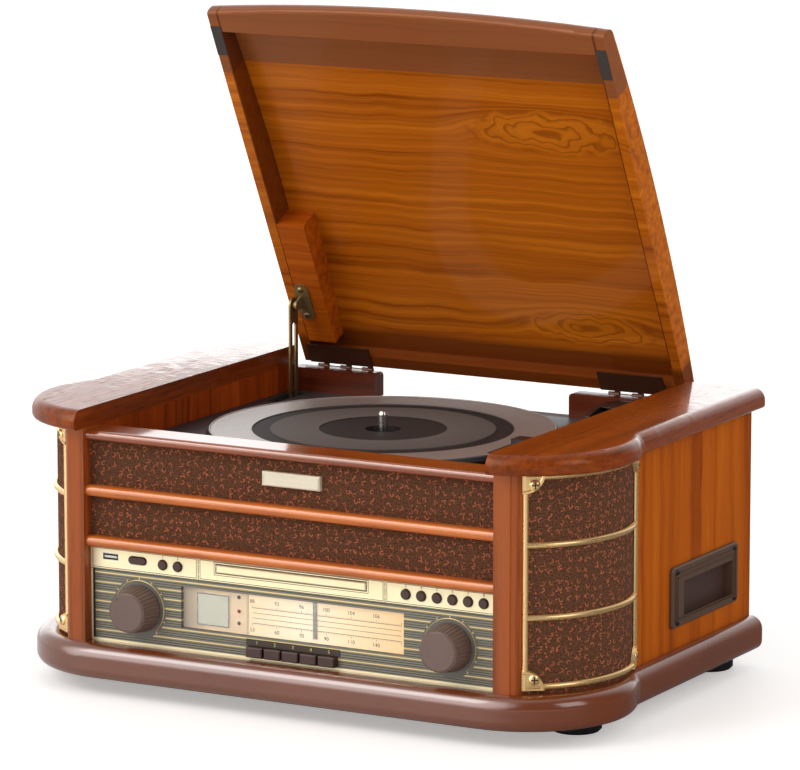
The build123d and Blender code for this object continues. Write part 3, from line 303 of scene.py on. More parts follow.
def wood(
    name, light, middle, dark, turn, rings=110.0, contrast=0.4, pores=0.3, knots=(), shift=(0, 0, 0),
    coat=0.3, shine=0.3, paint_and_shade=None, polish=None,
):
    """Lacquered veneer whose grain runs along the local X that turn gives it, round any knots."""

    def build(shader):
        where = shader.place(turn=turn, shift=shift)
        along, across, _ = shader.parts(where)
        ripple = shader.times(shader.noise(where, 45.0, detail=2), 0.9) if knots else None
        outline, filled = 0.0, 0.0
        for (knot_along, knot_across), (length, width) in knots:
            apart = shader.math("DIVIDE", shader.minus(along, knot_along), length)
            aside = shader.math("DIVIDE", shader.minus(across, knot_across), width)
            reach = shader.reach(apart, aside)
            near = shader.steps(reach, 1.5, 0.35)
            uneven = shader.plus(reach, ripple)
            ring = shader.math("FRACT", shader.times(uneven, 3.2))
            line = shader.times(shader.steps(ring, 0.6, 0.95), shader.steps(reach, 1.15, 0.8))
            eye = shader.steps(reach, 0.22, 0.1)
            outline = shader.most(outline, shader.most(line, eye))
            filled = shader.most(filled, shader.steps(uneven, 1.45, 1.3))
            oval = shader.plus(knot_across, shader.times(reach, width))
            bend = shader.times(near, shader.minus(oval, across))
            across = shader.plus(across, bend)
        colours = {"Light": light, "Middle": middle, "Dark": dark}
        look = {"Rings": rings, "Contrast": contrast, "Pores": pores}
        made = shader.use(wood_effect, Vector=where, Across=across, **colours, **look)
        wanted = surface_of(shader, made, 0.3, 0.0002)
        colour = made["Color"]
        if knots:
            colour = shader.blend(shader.times(filled, 0.45), colour, light)
            colour = shader.blend(shader.times(outline, 0.6), colour, dark)
        # Where given, this recolours the grain: on the lid, brown paint on its front rail and painted shade
        # on its rear rail and inner end faces.
        if paint_and_shade:
            colour = paint_and_shade(shader, where, colour)
        wanted["Base Color"] = colour
        if polish:
            wanted["Coat Weight"] = polish(shader)
        return wanted

    return finish_of(
        name, build, Coat_Weight=coat, Coat_Roughness=0.08, Coat_IOR=1.6, Specular_IOR_Level=shine,
        Specular_Tint=(1.0, 0.62, 0.3, 1),
    )


def build_lacquer(shader, given):
    """Plain stained moulding under gloss: slow changes of tone, with faint dust and polish marks."""
    slow = shader.noise(given["Vector"], 9.0, detail=3)
    fine = shader.noise(given["Vector"], 260.0, detail=2)
    tone = shader.plus(shader.times(slow, 0.9), shader.times(fine, 0.1))
    rough = shader.plus(0.2, shader.times(slow, 0.1))
    return {"Color": shader.blend(tone, given["Dark"], given["Light"]), "Roughness": rough, "Height": slow}


lacquer_effect = effect(
    "stained_lacquer",
    [("Vector", "Vector", None), ("Light", "Color", rgb(120, 60, 34)), ("Dark", "Color", rgb(84, 38, 20))],
    SURFACE,
    build_lacquer,
)


def lacquer(name, light, dark):
    """A stained and glossy moulding."""

    def build(shader):
        made = shader.use(lacquer_effect, Vector=shader.place(), Light=light, Dark=dark)
        return surface_of(shader, made, 0.04, 0.001)

    return finish_of(
        name, build, Coat_Weight=0.9, Coat_Roughness=0.16, Coat_IOR=1.75, Specular_IOR_Level=0.15,
    )


def build_metal(shader, given):
    """Satin plated metal with fine brushing and slow changes of sheen."""
    split = shader.node("ShaderNodeVectorMath", operation="MULTIPLY")
    shader.feed(split.inputs[0], given["Vector"])
    shader.feed(split.inputs[1], given["Brush"])
    brushed = shader.noise(split.outputs[0], 1.0, detail=3, rough=0.6)
    slow = shader.noise(given["Vector"], 25.0, detail=2)
    tone = shader.plus(shader.times(brushed, 0.6), shader.times(slow, 0.4))
    rough = shader.plus(given["Roughness"], shader.times(brushed, 0.15))
    return {"Color": shader.blend(tone, given["Dark"], given["Light"]), "Roughness": rough, "Height": brushed}


metal_effect = effect(
    "plated_metal",
    [
        ("Vector", "Vector", None),
        ("Brush", "Vector", (40, 900, 900)),
        ("Light", "Color", rgb(235, 215, 160)),
        ("Dark", "Color", rgb(190, 160, 95)),
        ("Roughness", "Float", 0.25),
    ],
    SURFACE,
    build_metal,
)


def plated(name, light, dark, roughness=0.25, brush=(40, 900, 900), metallic=1.0, bump=0.05):
    """A plated or painted metal finish."""

    def build(shader):
        given = {"Vector": shader.place(), "Light": light, "Dark": dark}
        made = shader.use(metal_effect, Roughness=roughness, Brush=brush, **given)
        return surface_of(shader, made, bump, 0.0003)

    return finish_of(name, build, Metallic=metallic)


def build_plastic(shader, given):
    """Moulded plastic: fine grain, and a little dust in the colour."""
    grain = shader.noise(given["Vector"], given["Grain"], detail=2, rough=0.6)
    dust = shader.noise(given["Vector"], 30.0, detail=4, rough=0.7)
    tone = shader.plus(shader.times(grain, 0.5), shader.times(dust, 0.5))
    rough = shader.plus(given["Roughness"], shader.times(dust, 0.15))
    return {"Color": shader.blend(tone, given["Dark"], given["Light"]), "Roughness": rough, "Height": grain}


plastic_effect = effect(
    "moulded_plastic",
    [
        ("Vector", "Vector", None),
        ("Light", "Color", rgb(60, 50, 46)),
        ("Dark", "Color", rgb(30, 24, 22)),
        ("Roughness", "Float", 0.35),
        ("Grain", "Float", 1800.0),
    ],
    SURFACE,
    build_plastic,
)


def plastic(name, light, dark, roughness, grain=1800.0):
    """A moulded plastic or rubber finish."""

    def build(shader):
        given = {"Vector": shader.place(), "Light": light, "Dark": dark}
        made = shader.use(plastic_effect, Roughness=roughness, Grain=grain, **given)
        return surface_of(shader, made, 0.12, 0.0002)

    return finish_of(name, build)


SPRIG_PITCH, SPRIG_R, SPRIG_STEM, SPRIG_LINE = 0.0076, 0.00112, 0.0022, 0.0003
WEAVE_PITCH = 0.0011


def build_cloth(shader, given):
    """Woven cloth with small curled sprigs, each turned its own way, and dots between them."""
    cells = shader.cells(given["Plane"], 1 / SPRIG_PITCH)
    cells.inputs["Randomness"].default_value = 0.6
    u, v, _ = shader.parts(given["Plane"])
    middle_u, middle_v, _ = shader.parts(cells.outputs["Position"])
    red, green, _ = shader.parts(cells.outputs["Color"])
    turn = shader.times(shader.math("FLOOR", shader.times(red, 4)), math.pi / 2)
    turn = shader.plus(turn, shader.times(green, 0.5))
    sine, cosine = shader.math("SINE", turn), shader.math("COSINE", turn)
    du, dv = shader.minus(u, middle_u), shader.minus(v, middle_v)
    x = shader.plus(shader.times(du, cosine), shader.times(dv, sine))
    y = shader.minus(shader.times(dv, cosine), shader.times(du, sine))
    reach = shader.reach(x, y)
    angle = shader.math("ARCTAN2", y, x)
    off_ring = shader.apart(reach, SPRIG_R)
    ring = shader.steps(off_ring, SPRIG_LINE * 1.5, SPRIG_LINE)
    ring = shader.times(ring, shader.math("GREATER_THAN", angle, 0.0))
    off_stem = shader.apart(x, SPRIG_R)
    stem = shader.steps(off_stem, SPRIG_LINE * 1.5, SPRIG_LINE)
    stem = shader.times(stem, shader.math("LESS_THAN", y, 0.0))
    stem = shader.times(stem, shader.math("GREATER_THAN", y, -SPRIG_STEM))
    dots = shader.cells(given["Plane"], 1.9 / SPRIG_PITCH)
    dot_red, _, _ = shader.parts(dots.outputs["Color"])
    dot = shader.steps(dots.outputs["Distance"], 0.22, 0.14)
    dot = shader.times(dot, shader.math("GREATER_THAN", dot_red, 0.75))
    sprig = shader.most(shader.most(ring, stem), dot)
    weave_u = shader.math("SINE", shader.times(u, 2 * math.pi / WEAVE_PITCH))
    weave_v = shader.math("SINE", shader.times(v, 2 * math.pi / WEAVE_PITCH))
    weave = shader.times(weave_u, weave_v)
    fuzz = shader.steps(shader.noise(given["Plane"], 700.0, detail=3, rough=0.75), 0.2, 0.8)
    tone = shader.plus(shader.times(weave, 0.22), fuzz, clamp=True)
    ground = shader.blend(tone, given["Dark"], given["Light"])
    strong = shader.plus(0.55, shader.times(green, 0.45))
    worn = shader.times(shader.times(sprig, strong), shader.steps(fuzz, 0.0, 0.3))
    height = shader.plus(shader.times(weave, 0.3), shader.times(sprig, 0.7))
    return {"Color": shader.blend(worn, ground, given["Sprig"]), "Height": height}


cloth_effect = effect(
    "sprigged_cloth",
    [
        ("Plane", "Vector", None),
        ("Light", "Color", rgb(128, 84, 60)),
        ("Dark", "Color", rgb(38, 22, 15)),
        ("Sprig", "Color", rgb(188, 104, 72)),
    ],
    [("Color", "Color"), ("Height", "Float")],
    build_cloth,
)


def cloth(name, spread):
    """Speaker cloth; spread gives its flat coordinates, in metres."""

    def build(shader):
        made = shader.use(cloth_effect, Plane=spread(shader))
        return {"Base Color": made["Color"], "Normal": shader.bump(made["Height"], 0.5, 0.0004)}

    return finish_of(name, build, Roughness=0.95, Specular_IOR_Level=0.1)


def flat_front(shader):
    """Coordinates of the cloth across the front: X and Z."""
    x, _, z = shader.parts(shader.place())
    return shader.vector(x, z, 0.0)


def round_corner(side):
    """Coordinates of the cloth round a corner: the way round it, and Z."""

    def spread(shader):
        x, y, z = shader.parts(shader.place())
        out = shader.times(shader.minus(x, side * GRILLE_X), side)
        turn = shader.math("ARCTAN2", out, shader.minus(GRILLE_Y, y))
        return shader.vector(shader.times(turn, GRILLE_R), z, 0.0)

    return spread


# ---------------- finishes
ACROSS = (0, 0, 0)  # grain along X
UPRIGHT = (0, math.radians(90), 0)  # grain along Z
DEEP = (0, 0, math.radians(90))  # grain along Y
IN_LID = (lid_angle, 0, 0)  # grain along X on the open lid
hinge_line = Matrix.Rotation(lid_angle, 3, "X") @ lid_pin
LID_SHIFT = (0, -hinge_line.y, -hinge_line.z)  # puts the hinge at the middle of that grain


def lid_stain(shader, where, colour):
    """The lid's front rail is plain brown paint; its rear rail and the inner faces of its ends are darkened
    with painted shade.
    """
    along, across, deep = shader.parts(where)
    fall = shader.times(shader.square(shader.minus(across, LID_CROWN)), LID_ARCH)
    from_top = shader.minus(shader.minus(LID_TOP, fall), deep)
    nose = shader.steps(across, LID_NOSE + 0.001, LID_NOSE)
    under = shader.most(shader.steps(from_top, 0.001, 0.0013), nose)
    front = shader.steps(across, LID_FRONT_RAIL + 0.0005, LID_FRONT_RAIL)
    rear = shader.steps(across, LID_REAR_RAIL - 0.004, LID_REAR_RAIL + 0.004)
    from_end = shader.apart(shader.math("ABSOLUTE", along), LID_INSIDE)
    end = shader.steps(from_end, 0.0012, 0.0008)
    # painted shade: the rear rail and the inner faces of the ends are darkened below the lid's top
    dark = shader.times(shader.most(rear, end), under)
    front = shader.times(shader.times(front, under), 0.85)
    colour = shader.blend(front, colour, rgb(138, 80, 48))
    # rgb(92, 38, 12) is the colour of that painted shade
    return shader.blend(shader.times(dark, 0.8), colour, rgb(92, 38, 12))


def cap_polish(shader):
    """The caps' lacquer has sunk into the pores, more so towards the front and the well."""
    x, y, _ = shader.parts(shader.place())
    stretched = shader.vector(shader.times(x, 55.0), shader.times(y, 420.0), 0.0)
    sunk = shader.noise(stretched, 1.0, detail=3, rough=0.6)
    sunk = shader.plus(sunk, shader.times(y, 1.3))
    sunk = shader.plus(sunk, shader.times(shader.math("ABSOLUTE", x), 2.0))
    return shader.plus(0.12, shader.times(shader.steps(sunk, 0.86, 1.06), 0.88))


moulding = lacquer("moulding_lacquer", rgb(128, 62, 26), rgb(100, 44, 16))
rail_wood = wood(
    "rail_wood", rgb(236, 136, 58), rgb(214, 114, 44), rgb(150, 70, 24), ACROSS,
    contrast=0.25, pores=0.1, coat=0.6,
)
post_wood = wood(
    "post_wood", rgb(190, 98, 44), rgb(166, 80, 32), rgb(120, 52, 20), UPRIGHT, contrast=0.25, pores=0.1,
)
ledge_wood = wood(
    "ledge_wood", rgb(176, 88, 40), rgb(150, 68, 30), rgb(105, 44, 18), ACROSS,
    contrast=0.25, pores=0.1, coat=1.0,
)
side_wood = wood(
    "side_veneer", rgb(216, 122, 20), rgb(182, 88, 8), rgb(124, 48, 2), UPRIGHT,
    rings=75, contrast=0.3, pores=0.35, coat=0.0, shine=0.05,
)
well_wood = wood(
    "well_veneer", rgb(178, 78, 20), rgb(146, 58, 12), rgb(88, 32, 6), UPRIGHT,
    rings=150, coat=0.1, shine=0.15,
)
cap_wood = wood(
    "cap_veneer", rgb(160, 72, 18), rgb(130, 54, 12), rgb(78, 30, 8), DEEP,
    rings=150, pores=0.8, polish=cap_polish,
)
LID_KNOTS = (  # middle, length and width of each oval figure
    ((0.093, -0.232), (0.070, 0.020)),
    ((0.090, -0.049), (0.060, 0.016)),
)
lid_wood = wood(
    "lid_veneer", rgb(222, 126, 26), rgb(190, 98, 16), rgb(132, 58, 6), IN_LID,
    rings=170, contrast=0.42, pores=0.1, knots=LID_KNOTS, shift=LID_SHIFT,
    coat=0.1, shine=0.12, paint_and_shade=lid_stain,
)
block_wood = wood(
    "block_wood", rgb(214, 110, 24), rgb(180, 84, 14), rgb(118, 48, 8), IN_LID,
    rings=150, pores=0.15, coat=0.1, shine=0.15,
)
hinge_wood = wood(
    "hinge_block_wood", rgb(120, 50, 26), rgb(96, 38, 20), rgb(60, 22, 12), ACROSS, contrast=0.3,
)
gold = plated(
    "gold_plate", rgb(255, 220, 158), rgb(244, 196, 130),
    roughness=0.2, brush=(60, 60, 60), metallic=0.8, bump=0.002,
)
strip_gold = plated("strip_gold", rgb(255, 246, 208), rgb(252, 234, 184), roughness=0.4, metallic=0.35)
steel = plated("steel", rgb(215, 212, 205), rgb(160, 155, 148), roughness=0.18)
badge_steel = plated("badge_steel", rgb(236, 226, 204), rgb(206, 194, 170), roughness=0.4, metallic=0.3)
BRASS = (rgb(168, 140, 92), rgb(84, 64, 40))
BRONZE = (rgb(84, 48, 26), rgb(58, 32, 18))
aged_brass = plated("aged_brass", *BRASS, roughness=0.35, metallic=0.8)


def fittings_colour(shader):
    """The stay's bracket is aged brass, and the hinge leaves are painted brown."""
    _, across, _ = shader.parts(shader.place(turn=IN_LID, shift=LID_SHIFT))
    leaf = shader.steps(across, LEAF_REACH - 0.001, LEAF_REACH)
    light, dark = (shader.blend(leaf, brass, bronze) for brass, bronze in zip(BRASS, BRONZE))
    made = shader.use(metal_effect, Vector=shader.place(), Light=light, Dark=dark, Roughness=0.38)
    return surface_of(shader, made, 0.05, 0.0003)


fittings_metal = finish_of("fittings_metal", fittings_colour, Metallic=0.55)
hinge_bronze = plated("hinge_bronze", *BRONZE, roughness=0.4, metallic=0.3)
deck_paint = plated("deck_paint", rgb(64, 60, 60), rgb(40, 38, 38), 0.4, (200, 200, 200), 0.2)
knob_brown = plastic("knob_brown", rgb(122, 98, 88), rgb(92, 72, 63), roughness=0.3)
key_brown = plastic("key_brown", rgb(74, 42, 32), rgb(46, 24, 18), roughness=0.25)
black_plastic = plastic("black_plastic", rgb(40, 36, 36), rgb(16, 14, 14), roughness=0.3)
flap_brown = plastic("flap_brown", rgb(92, 62, 52), rgb(50, 33, 28), roughness=0.3)
bezel_brown = plastic("bezel_brown", rgb(104, 76, 56), rgb(80, 56, 42), roughness=0.4)
rubber = plastic("foot_rubber", rgb(34, 32, 32), rgb(16, 15, 15), roughness=0.6, grain=900)
pad_rubber = plastic("pad_rubber", rgb(62, 52, 46), rgb(44, 36, 32), roughness=0.6, grain=900)
back_board = plastic("back_board", rgb(70, 44, 30), rgb(48, 28, 20), roughness=0.6, grain=300)
print_ink = plastic("print_ink", rgb(66, 54, 40), rgb(44, 36, 28), roughness=0.6)
front_cloth = cloth("front_cloth", flat_front)
right_cloth = cloth("right_corner_cloth", round_corner(1))
left_cloth = cloth("left_corner_cloth", round_corner(-1))


def platter_colour(shader):
    """Turned metal: silver outside, a dark ring, a darker mat inside it and a black label dish, with painted
    shade on its rim edge.
    """
    x, y, z = shader.parts(shader.place())
    dx, dy = shader.minus(x, PLATTER_X), shader.minus(y, PLATTER_Y)
    reach = shader.reach(dx, dy)
    turning = shader.vector(shader.times(reach, 700.0), 0.0, 0.0)
    rings = shader.noise(turning, 1.0, detail=3, rough=0.7)
    dust = shader.noise(shader.vector(x, y, z), 160.0, detail=3)
    face = shader.ramp(
        shader.math("DIVIDE", reach, PLATTER_R),
        [
            (0.0, rgb(40, 35, 33)),
            (LABEL_R, rgb(30, 27, 26)),
            (LABEL_R + RING_EDGE, rgb(112, 103, 98)),
            (GROOVE_INNER, rgb(98, 90, 86)),
            (GROOVE_INNER + RING_EDGE, rgb(24, 21, 21)),
            (GROOVE_OUTER, rgb(24, 21, 21)),
            (GROOVE_OUTER + RING_EDGE, rgb(186, 181, 176)),
            (FACE_R, rgb(196, 191, 186)),
            # painted shade: the rim's edge, past the face, is drawn dark
            (FACE_R + 0.003, rgb(60, 56, 55)),
        ],
    )
    rim = shader.steps(reach, GROOVE_OUTER * PLATTER_R, (GROOVE_OUTER + RING_EDGE) * PLATTER_R)
    tone = shader.plus(shader.times(rings, 0.9), shader.times(dust, 0.3))
    colour = shader.blend(shader.times(tone, 0.5), face, rgb(60, 56, 54))
    return {
        "Base Color": colour,
        "Metallic": shader.times(rim, 0.6),
        "Roughness": shader.plus(0.5, shader.times(shader.minus(rings, rim), 0.24)),
        "Normal": shader.bump(rings, 0.2, 0.0003),
    }


platter_metal = finish_of("platter_metal", platter_colour, Specular_IOR_Level=0.15)


def panel_colour(shader):
    """Grey paint printed with gold lines and thin black lines, plain round each knob, with painted shadow
    along both its ends.
    """
    x, _, z = shader.parts(shader.place())
    step = shader.math("FRACT", shader.math("DIVIDE", shader.minus(z, panel_low.z), LINE_PITCH))
    grey, gilt, black = rgb(132, 128, 112), rgb(250, 222, 150), rgb(44, 40, 36)
    stops = [(0.0, gilt), (0.12, gilt), (0.15, grey)]
    for line in (0.30, 0.54, 0.78):
        stops += [(line, grey), (line + 0.02, black), (line + 0.07, black), (line + 0.09, grey)]
    lines = shader.ramp(step, stops)
    plain = 0.0
    for knob_x in (VOLUME_X, TUNING_X):
        dx, dz = shader.minus(x, knob_x), shader.minus(z, KNOB_Z)
        reach = shader.reach(dx, dz)
        plain = shader.most(plain, shader.steps(reach, PLAIN_R + 0.0004, PLAIN_R))
    # painted shadow: a dark band in the gap along each end of the panel
    shadow_gap = shader.steps(shader.math("ABSOLUTE", x), panel_high.x - 0.0034, panel_high.x - 0.003)
    dust = shader.noise(shader.place(), 220.0, detail=3)
    colour = shader.blend(plain, lines, rgb(108, 104, 96))
    colour = shader.blend(shadow_gap, colour, rgb(30, 27, 25))
    colour = shader.blend(shader.times(dust, 0.15), colour, rgb(60, 56, 50))
    return {"Base Color": colour, "Roughness": shader.plus(0.3, shader.times(dust, 0.2))}


panel_paint = finish_of("panel_paint", panel_colour, Metallic=0.1)


def dial_colour(shader):
    """Lit dial: an end that pales towards its display, and a peach scale that glows."""
    x, _, z = shader.parts(shader.place())
    glow = shader.times(shader.minus(x, SCALE_X), 1 / (dial_high.x - SCALE_X), clamp=True)
    peach = [(0.0, rgb(252, 222, 182)), (0.35, rgb(255, 238, 208)), (0.62, rgb(255, 226, 184))]
    peach = shader.ramp(glow, [*peach, (1.0, rgb(246, 204, 148))])
    scale = shader.steps(x, SCALE_X - 0.0006, SCALE_X)
    end = shader.blend(shader.steps(x, dial_low.x, DISPLAY_X), rgb(176, 160, 138), rgb(250, 222, 186))
    colour = shader.blend(scale, end, peach)
    off_x, off_z = shader.apart(x, DISPLAY_X), shader.apart(z, DIAL_Z)
    inside = [shader.math("LESS_THAN", off_x, DISPLAY_W), shader.math("LESS_THAN", off_z, DISPLAY_H)]
    inside = shader.times(*inside)
    colour = shader.blend(inside, colour, rgb(214, 212, 194))
    dust = shader.noise(shader.place(), 160.0, detail=3)
    colour = shader.blend(shader.times(dust, 0.12), colour, rgb(190, 160, 120))
    lit = shader.plus(0.3, shader.times(scale, 0.3))
    return {
        "Base Color": colour,
        "Emission Color": colour,
        "Emission Strength": lit,
        "Roughness": shader.plus(0.5, shader.times(dust, 0.1)),
    }


dial_print = finish_of("dial_print", dial_colour)


def smudge(shader):
    """Clear plastic with faint smears."""
    smear = shader.steps(shader.noise(shader.place(), 70.0, detail=3), 0.45, 0.75)
    return {"Roughness": shader.plus(0.02, shader.times(smear, 0.05))}


dial_glass = finish_of("dial_glass", smudge, Transmission_Weight=1.0, IOR=1.35)

FINISHES = (
    (moulding, "base_plinth"),
    (side_wood, "side_panel_left side_panel_right"),
    (cap_wood, "top_cap_left top_cap_right"),
    (well_wood, "well_wall_left well_wall_right"),
    (post_wood, "front_post_left front_post_right"),
    (ledge_wood, "front_ledge"),
    (rail_wood, "front_rails"),
    (lid_wood, "lid"),
    (block_wood, "lid_block"),
    (hinge_wood, "hinge_blocks"),
    (front_cloth, "front_cloth"),
    (left_cloth, "grille_cloth_left"),
    (right_cloth, "grille_cloth_right"),
    (gold, "grille_frame_left grille_frame_right"),
    (strip_gold, "panel_trim cd_drawer"),
    (badge_steel, "badge_plate"),
    (steel, "dial_pointer usb_port spindle motor_pulley"),
    (aged_brass, "stay_arm"),
    (fittings_metal, "lid_fittings"),
    (hinge_bronze, "hinge_leaves_body"),
    (deck_paint, "deck"),
    (platter_metal, "platter"),
    (panel_paint, "control_panel"),
    (dial_print, "dial_plate"),
    (dial_glass, "dial_lens"),
    (knob_brown, "volume_knob tuning_knob"),
    (key_brown, "power_switch key_1 key_2 key_3 key_4 key_5"),
    (key_brown, "button_1 button_2 button_3 button_4 button_5 button_6 button_7 button_8"),
    (black_plastic, "tonearm_base arm_gimbal tonearm lift_lever speed_lever"),
    (bezel_brown, "cassette_bezel"),
    (flap_brown, "cassette_flap"),
    (back_board, "rear_panel"),
    (rubber, "feet"),
    (pad_rubber, "lid_pads"),
)
for material, nodes in FINISHES:
    for node in nodes.split():
        slots = frame["nodes"][node].data.materials
        slots.clear()
        slots.append(material)

# ---------------- piece building
EAST, NORTH, UP = Vector((1, 0, 0)), Vector((0, 1, 0)), Vector((0, 0, 1))
TURNED_SIDES = 24
PRINT = 0.0001  # thickness of printing
# A screw head's rings: shares of its radius, and heights off the face.
SCREW = ((0.0001, 0.0017), (0.4, 0.0016), (0.75, 0.0012), (0.95, 0.0005), (1.0, 0.0))


def piece_of(name, shape, material, body="cabinet", smooth=True):
    """A finished mesh piece that rides one of the bodies."""
    bmesh.ops.recalc_face_normals(shape, faces=shape.faces)
    mesh = bpy.data.meshes.new(name)
    shape.to_mesh(mesh)
    shape.free()
    if smooth:
        mesh.shade_smooth()
        mesh.set_sharp_from_angle(angle=math.radians(40))
    mesh.materials.append(material)
    piece = bpy.data.objects.new(name, mesh)
    bpy.context.collection.objects.link(piece)
    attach(piece, body)
    return piece


def bar(shape, x, y, z):
    """A block between two limits along each axis."""
    corners = [shape.verts.new((a, b, c)) for a in x for b in y for c in z]
    for face in ((0, 1, 3, 2), (4, 6, 7, 5), (0, 4, 5, 1), (2, 3, 7, 6), (0, 2, 6, 4), (1, 5, 7, 3)):
        shape.faces.new([corners[index] for index in face])


def skin(shape, rings, closed=False):
    """Faces between rows of points; closed joins each row's ends."""
    rows = [[shape.verts.new(point) for point in ring] for ring in rings]
    count = len(rows[0]) if closed else len(rows[0]) - 1
    for low, high in zip(rows, rows[1:]):
        for index in range(count):
            after = (index + 1) % len(low)
            shape.faces.new((low[index], low[after], high[after], high[index]))


def turned(shape, centre, right, up, profile):
    """A round piece on a face: its profile is given as radius and height off the face."""
    out = right.cross(up)
    angles = [2 * math.pi * side / TURNED_SIDES for side in range(TURNED_SIDES)]
    ways = [right * math.cos(angle) + up * math.sin(angle) for angle in angles]
    rings = [[centre + out * height + way * radius for way in ways] for radius, height in profile]
    skin(shape, rings, closed=True)


def frame_bars(shape, x, y, z, width):
    """A thin rectangular outline on a face that looks forwards."""
    bar(shape, x, y, (z[0], z[0] + width))
    bar(shape, x, y, (z[1] - width, z[1]))
    bar(shape, (x[0], x[0] + width), y, (z[0] + width, z[1] - width))
    bar(shape, (x[1] - width, x[1]), y, (z[0] + width, z[1] - width))


def cross_slots(shape, centre, right, up, radius, height):
    """The two crossed slots of a screw, drawn dark a hair above its head as painted shade in the slots."""
    out = right.cross(up)
    for long, short in ((right, up), (up, right)):
        ends = [centre + out * height + long * (radius * way) for way in (-1, 1)]
        rings = [[end + short * (radius * 0.2), end - short * (radius * 0.2)] for end in ends]
        skin(shape, rings)


def screws(name, places, radius, body, material):
    """Round-headed screws at places given as centre, right and up."""
    heads, slots = bmesh.new(), bmesh.new()
    for centre, right, up in places:
        turned(heads, centre, right, up, [(share * radius, height) for share, height in SCREW])
        cross_slots(slots, centre, right, up, radius * 0.6, SCREW[0][1] + 0.00005)
    piece_of(name, heads, material, body)
    # the slots' dark strips are painted shade in their recesses
    piece_of(f"{name}_slots", slots, dark_ink_and_slot_shade, body, smooth=False)


def figures(name, labels, size, y, material):
    """Plain numbers on a face that looks forwards, given as text, X and Z of their middles."""
    shape = bmesh.new()
    for text, x, z in labels:
        curve = bpy.data.curves.new(name, "FONT")
        curve.body, curve.size = text, size
        curve.align_x = curve.align_y = "CENTER"
        writer = bpy.data.objects.new(name, curve)
        letters = bpy.data.meshes.new_from_object(writer)
        letters.transform(Matrix.Translation((x, y, z)) @ Matrix.Rotation(math.radians(90), 4, "X"))
        shape.from_mesh(letters)
        bpy.data.objects.remove(writer)
        bpy.data.meshes.remove(letters)
        bpy.data.curves.remove(curve)
    piece_of(name, shape, material, smooth=False)


# dark ink for the plate outlines and key strip, and painted shade in the screw slots
dark_ink_and_slot_shade = plastic("dark_ink_and_slot_shade", rgb(60, 44, 24), rgb(34, 24, 14), roughness=0.5)
gold_line = plated("gold_line", rgb(236, 214, 150), rgb(214, 186, 118), roughness=0.3, metallic=0.6)

# ---------------- gilt frames of the round corners
frame_low, frame_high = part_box("grille_frame_right")
FRAME_BEAD = 0.0048  # width of the rounded strips
FRAME_BASE, FRAME_RISE = 0.0006, 0.0026  # how far they stand off the cloth, and their own height
EAR_ALONG, EAR_R = 1.1, 0.0158  # an ear is a little wider than it is tall
EAR_TOP, EAR_RIM = 0.0030, 0.0036  # heights of its flat and its raised rim
EAR_PROFILE = ((0.3, EAR_TOP), (0.80, EAR_TOP), (0.84, EAR_RIM), (0.94, EAR_RIM), (1.0, 0.0004))
EAR_SCREW, EAR_SCREW_R = 0.0082, 0.0042  # its screw: how far in from the corner, and its radius
BAR_HEIGHTS = (0.097, 0.1516)
BAR_STEPS = 32
along_start = GRILLE_R * math.asin((frame_low.x - GRILLE_X) / GRILLE_R) - 0.0008
along_end = GRILLE_R * math.acos((GRILLE_Y - frame_high.y) / GRILLE_R)
BEAD_TURNS = [math.pi * step / 8 for step in range(9)]
EAR_TURNS = [math.pi / 2 * step / 10 for step in range(11)]


def on_corner(side, along, z, out):
    """A point on a round corner, this far round it, up it and out from its cloth."""
    turn = along / GRILLE_R
    reach = GRILLE_R + out
    return Vector((side * (GRILLE_X + reach * math.sin(turn)), GRILLE_Y - reach * math.cos(turn), z))


def corner_basis(side, along):
    """The two directions of a round corner's face there, so that their cross product looks out."""
    turn = along / GRILLE_R
    return Vector((math.cos(turn) * side, math.sin(turn), 0)) * side, UP


def corner_frame(side, word):
    """Half-round strips round a corner and across it, with an ear and a screw at each corner."""
    shape = bmesh.new()
    half = FRAME_BEAD / 2
    bead = [(half * math.cos(turn), FRAME_BASE + FRAME_RISE * math.sin(turn)) for turn in BEAD_TURNS]
    low, high = along_start + half, along_end - half
    steps = [low + (high - low) * step / BAR_STEPS for step in range(BAR_STEPS + 1)]
    for z in (frame_low.z + half, *BAR_HEIGHTS, frame_high.z - half):
        skin(shape, [[on_corner(side, along, z + aside, out) for aside, out in bead] for along in steps])
    ends = (frame_low.z, frame_high.z)
    for along in (low, high):
        skin(shape, [[on_corner(side, along + aside, z, out) for aside, out in bead] for z in ends])
    places = []
    for along, way in ((along_start, 1), (along_end, -1)):
        for z, lift in ((frame_low.z, 1), (frame_high.z, -1)):
            rings = [[on_corner(side, along, z, EAR_TOP)] * len(EAR_TURNS)]
            for share, out in EAR_PROFILE:
                wide, tall = way * (share * EAR_R) * EAR_ALONG, lift * (share * EAR_R)
                points = [(along + wide * math.cos(turn), z + tall * math.sin(turn)) for turn in EAR_TURNS]
                rings.append([on_corner(side, point_along, point_z, out) for point_along, point_z in points])
            skin(shape, rings)
            screw_along = along + way * EAR_SCREW * EAR_ALONG
            centre = on_corner(side, screw_along, z + lift * EAR_SCREW, EAR_TOP)
            places.append((centre, *corner_basis(side, screw_along)))
    piece = piece_of(f"corner_frame_{word}", shape, gold)
    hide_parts(f"grille_frame_{word}")
    screws(f"corner_screws_{word}", places, EAR_SCREW_R, "cabinet", gold)


corner_frame(1, "right")
corner_frame(-1, "left")

# ---------------- printing and trim of the control panel
panel_y, strip_y, dial_y = panel_low.y, trim_low.y, panel_high.y
LINE = 0.0004  # width of a printed line
STRIP_LOW, STRIP_HIGH = 0.0960, trim_high.z
STRIP_JOINTS = (-0.0811, 0.0810)
OUTLINE_X, OUTLINE_Z = 0.0014, 0.0012  # how far a plate's outline is in from its edges
DRAWER_MARGIN = 0.0022

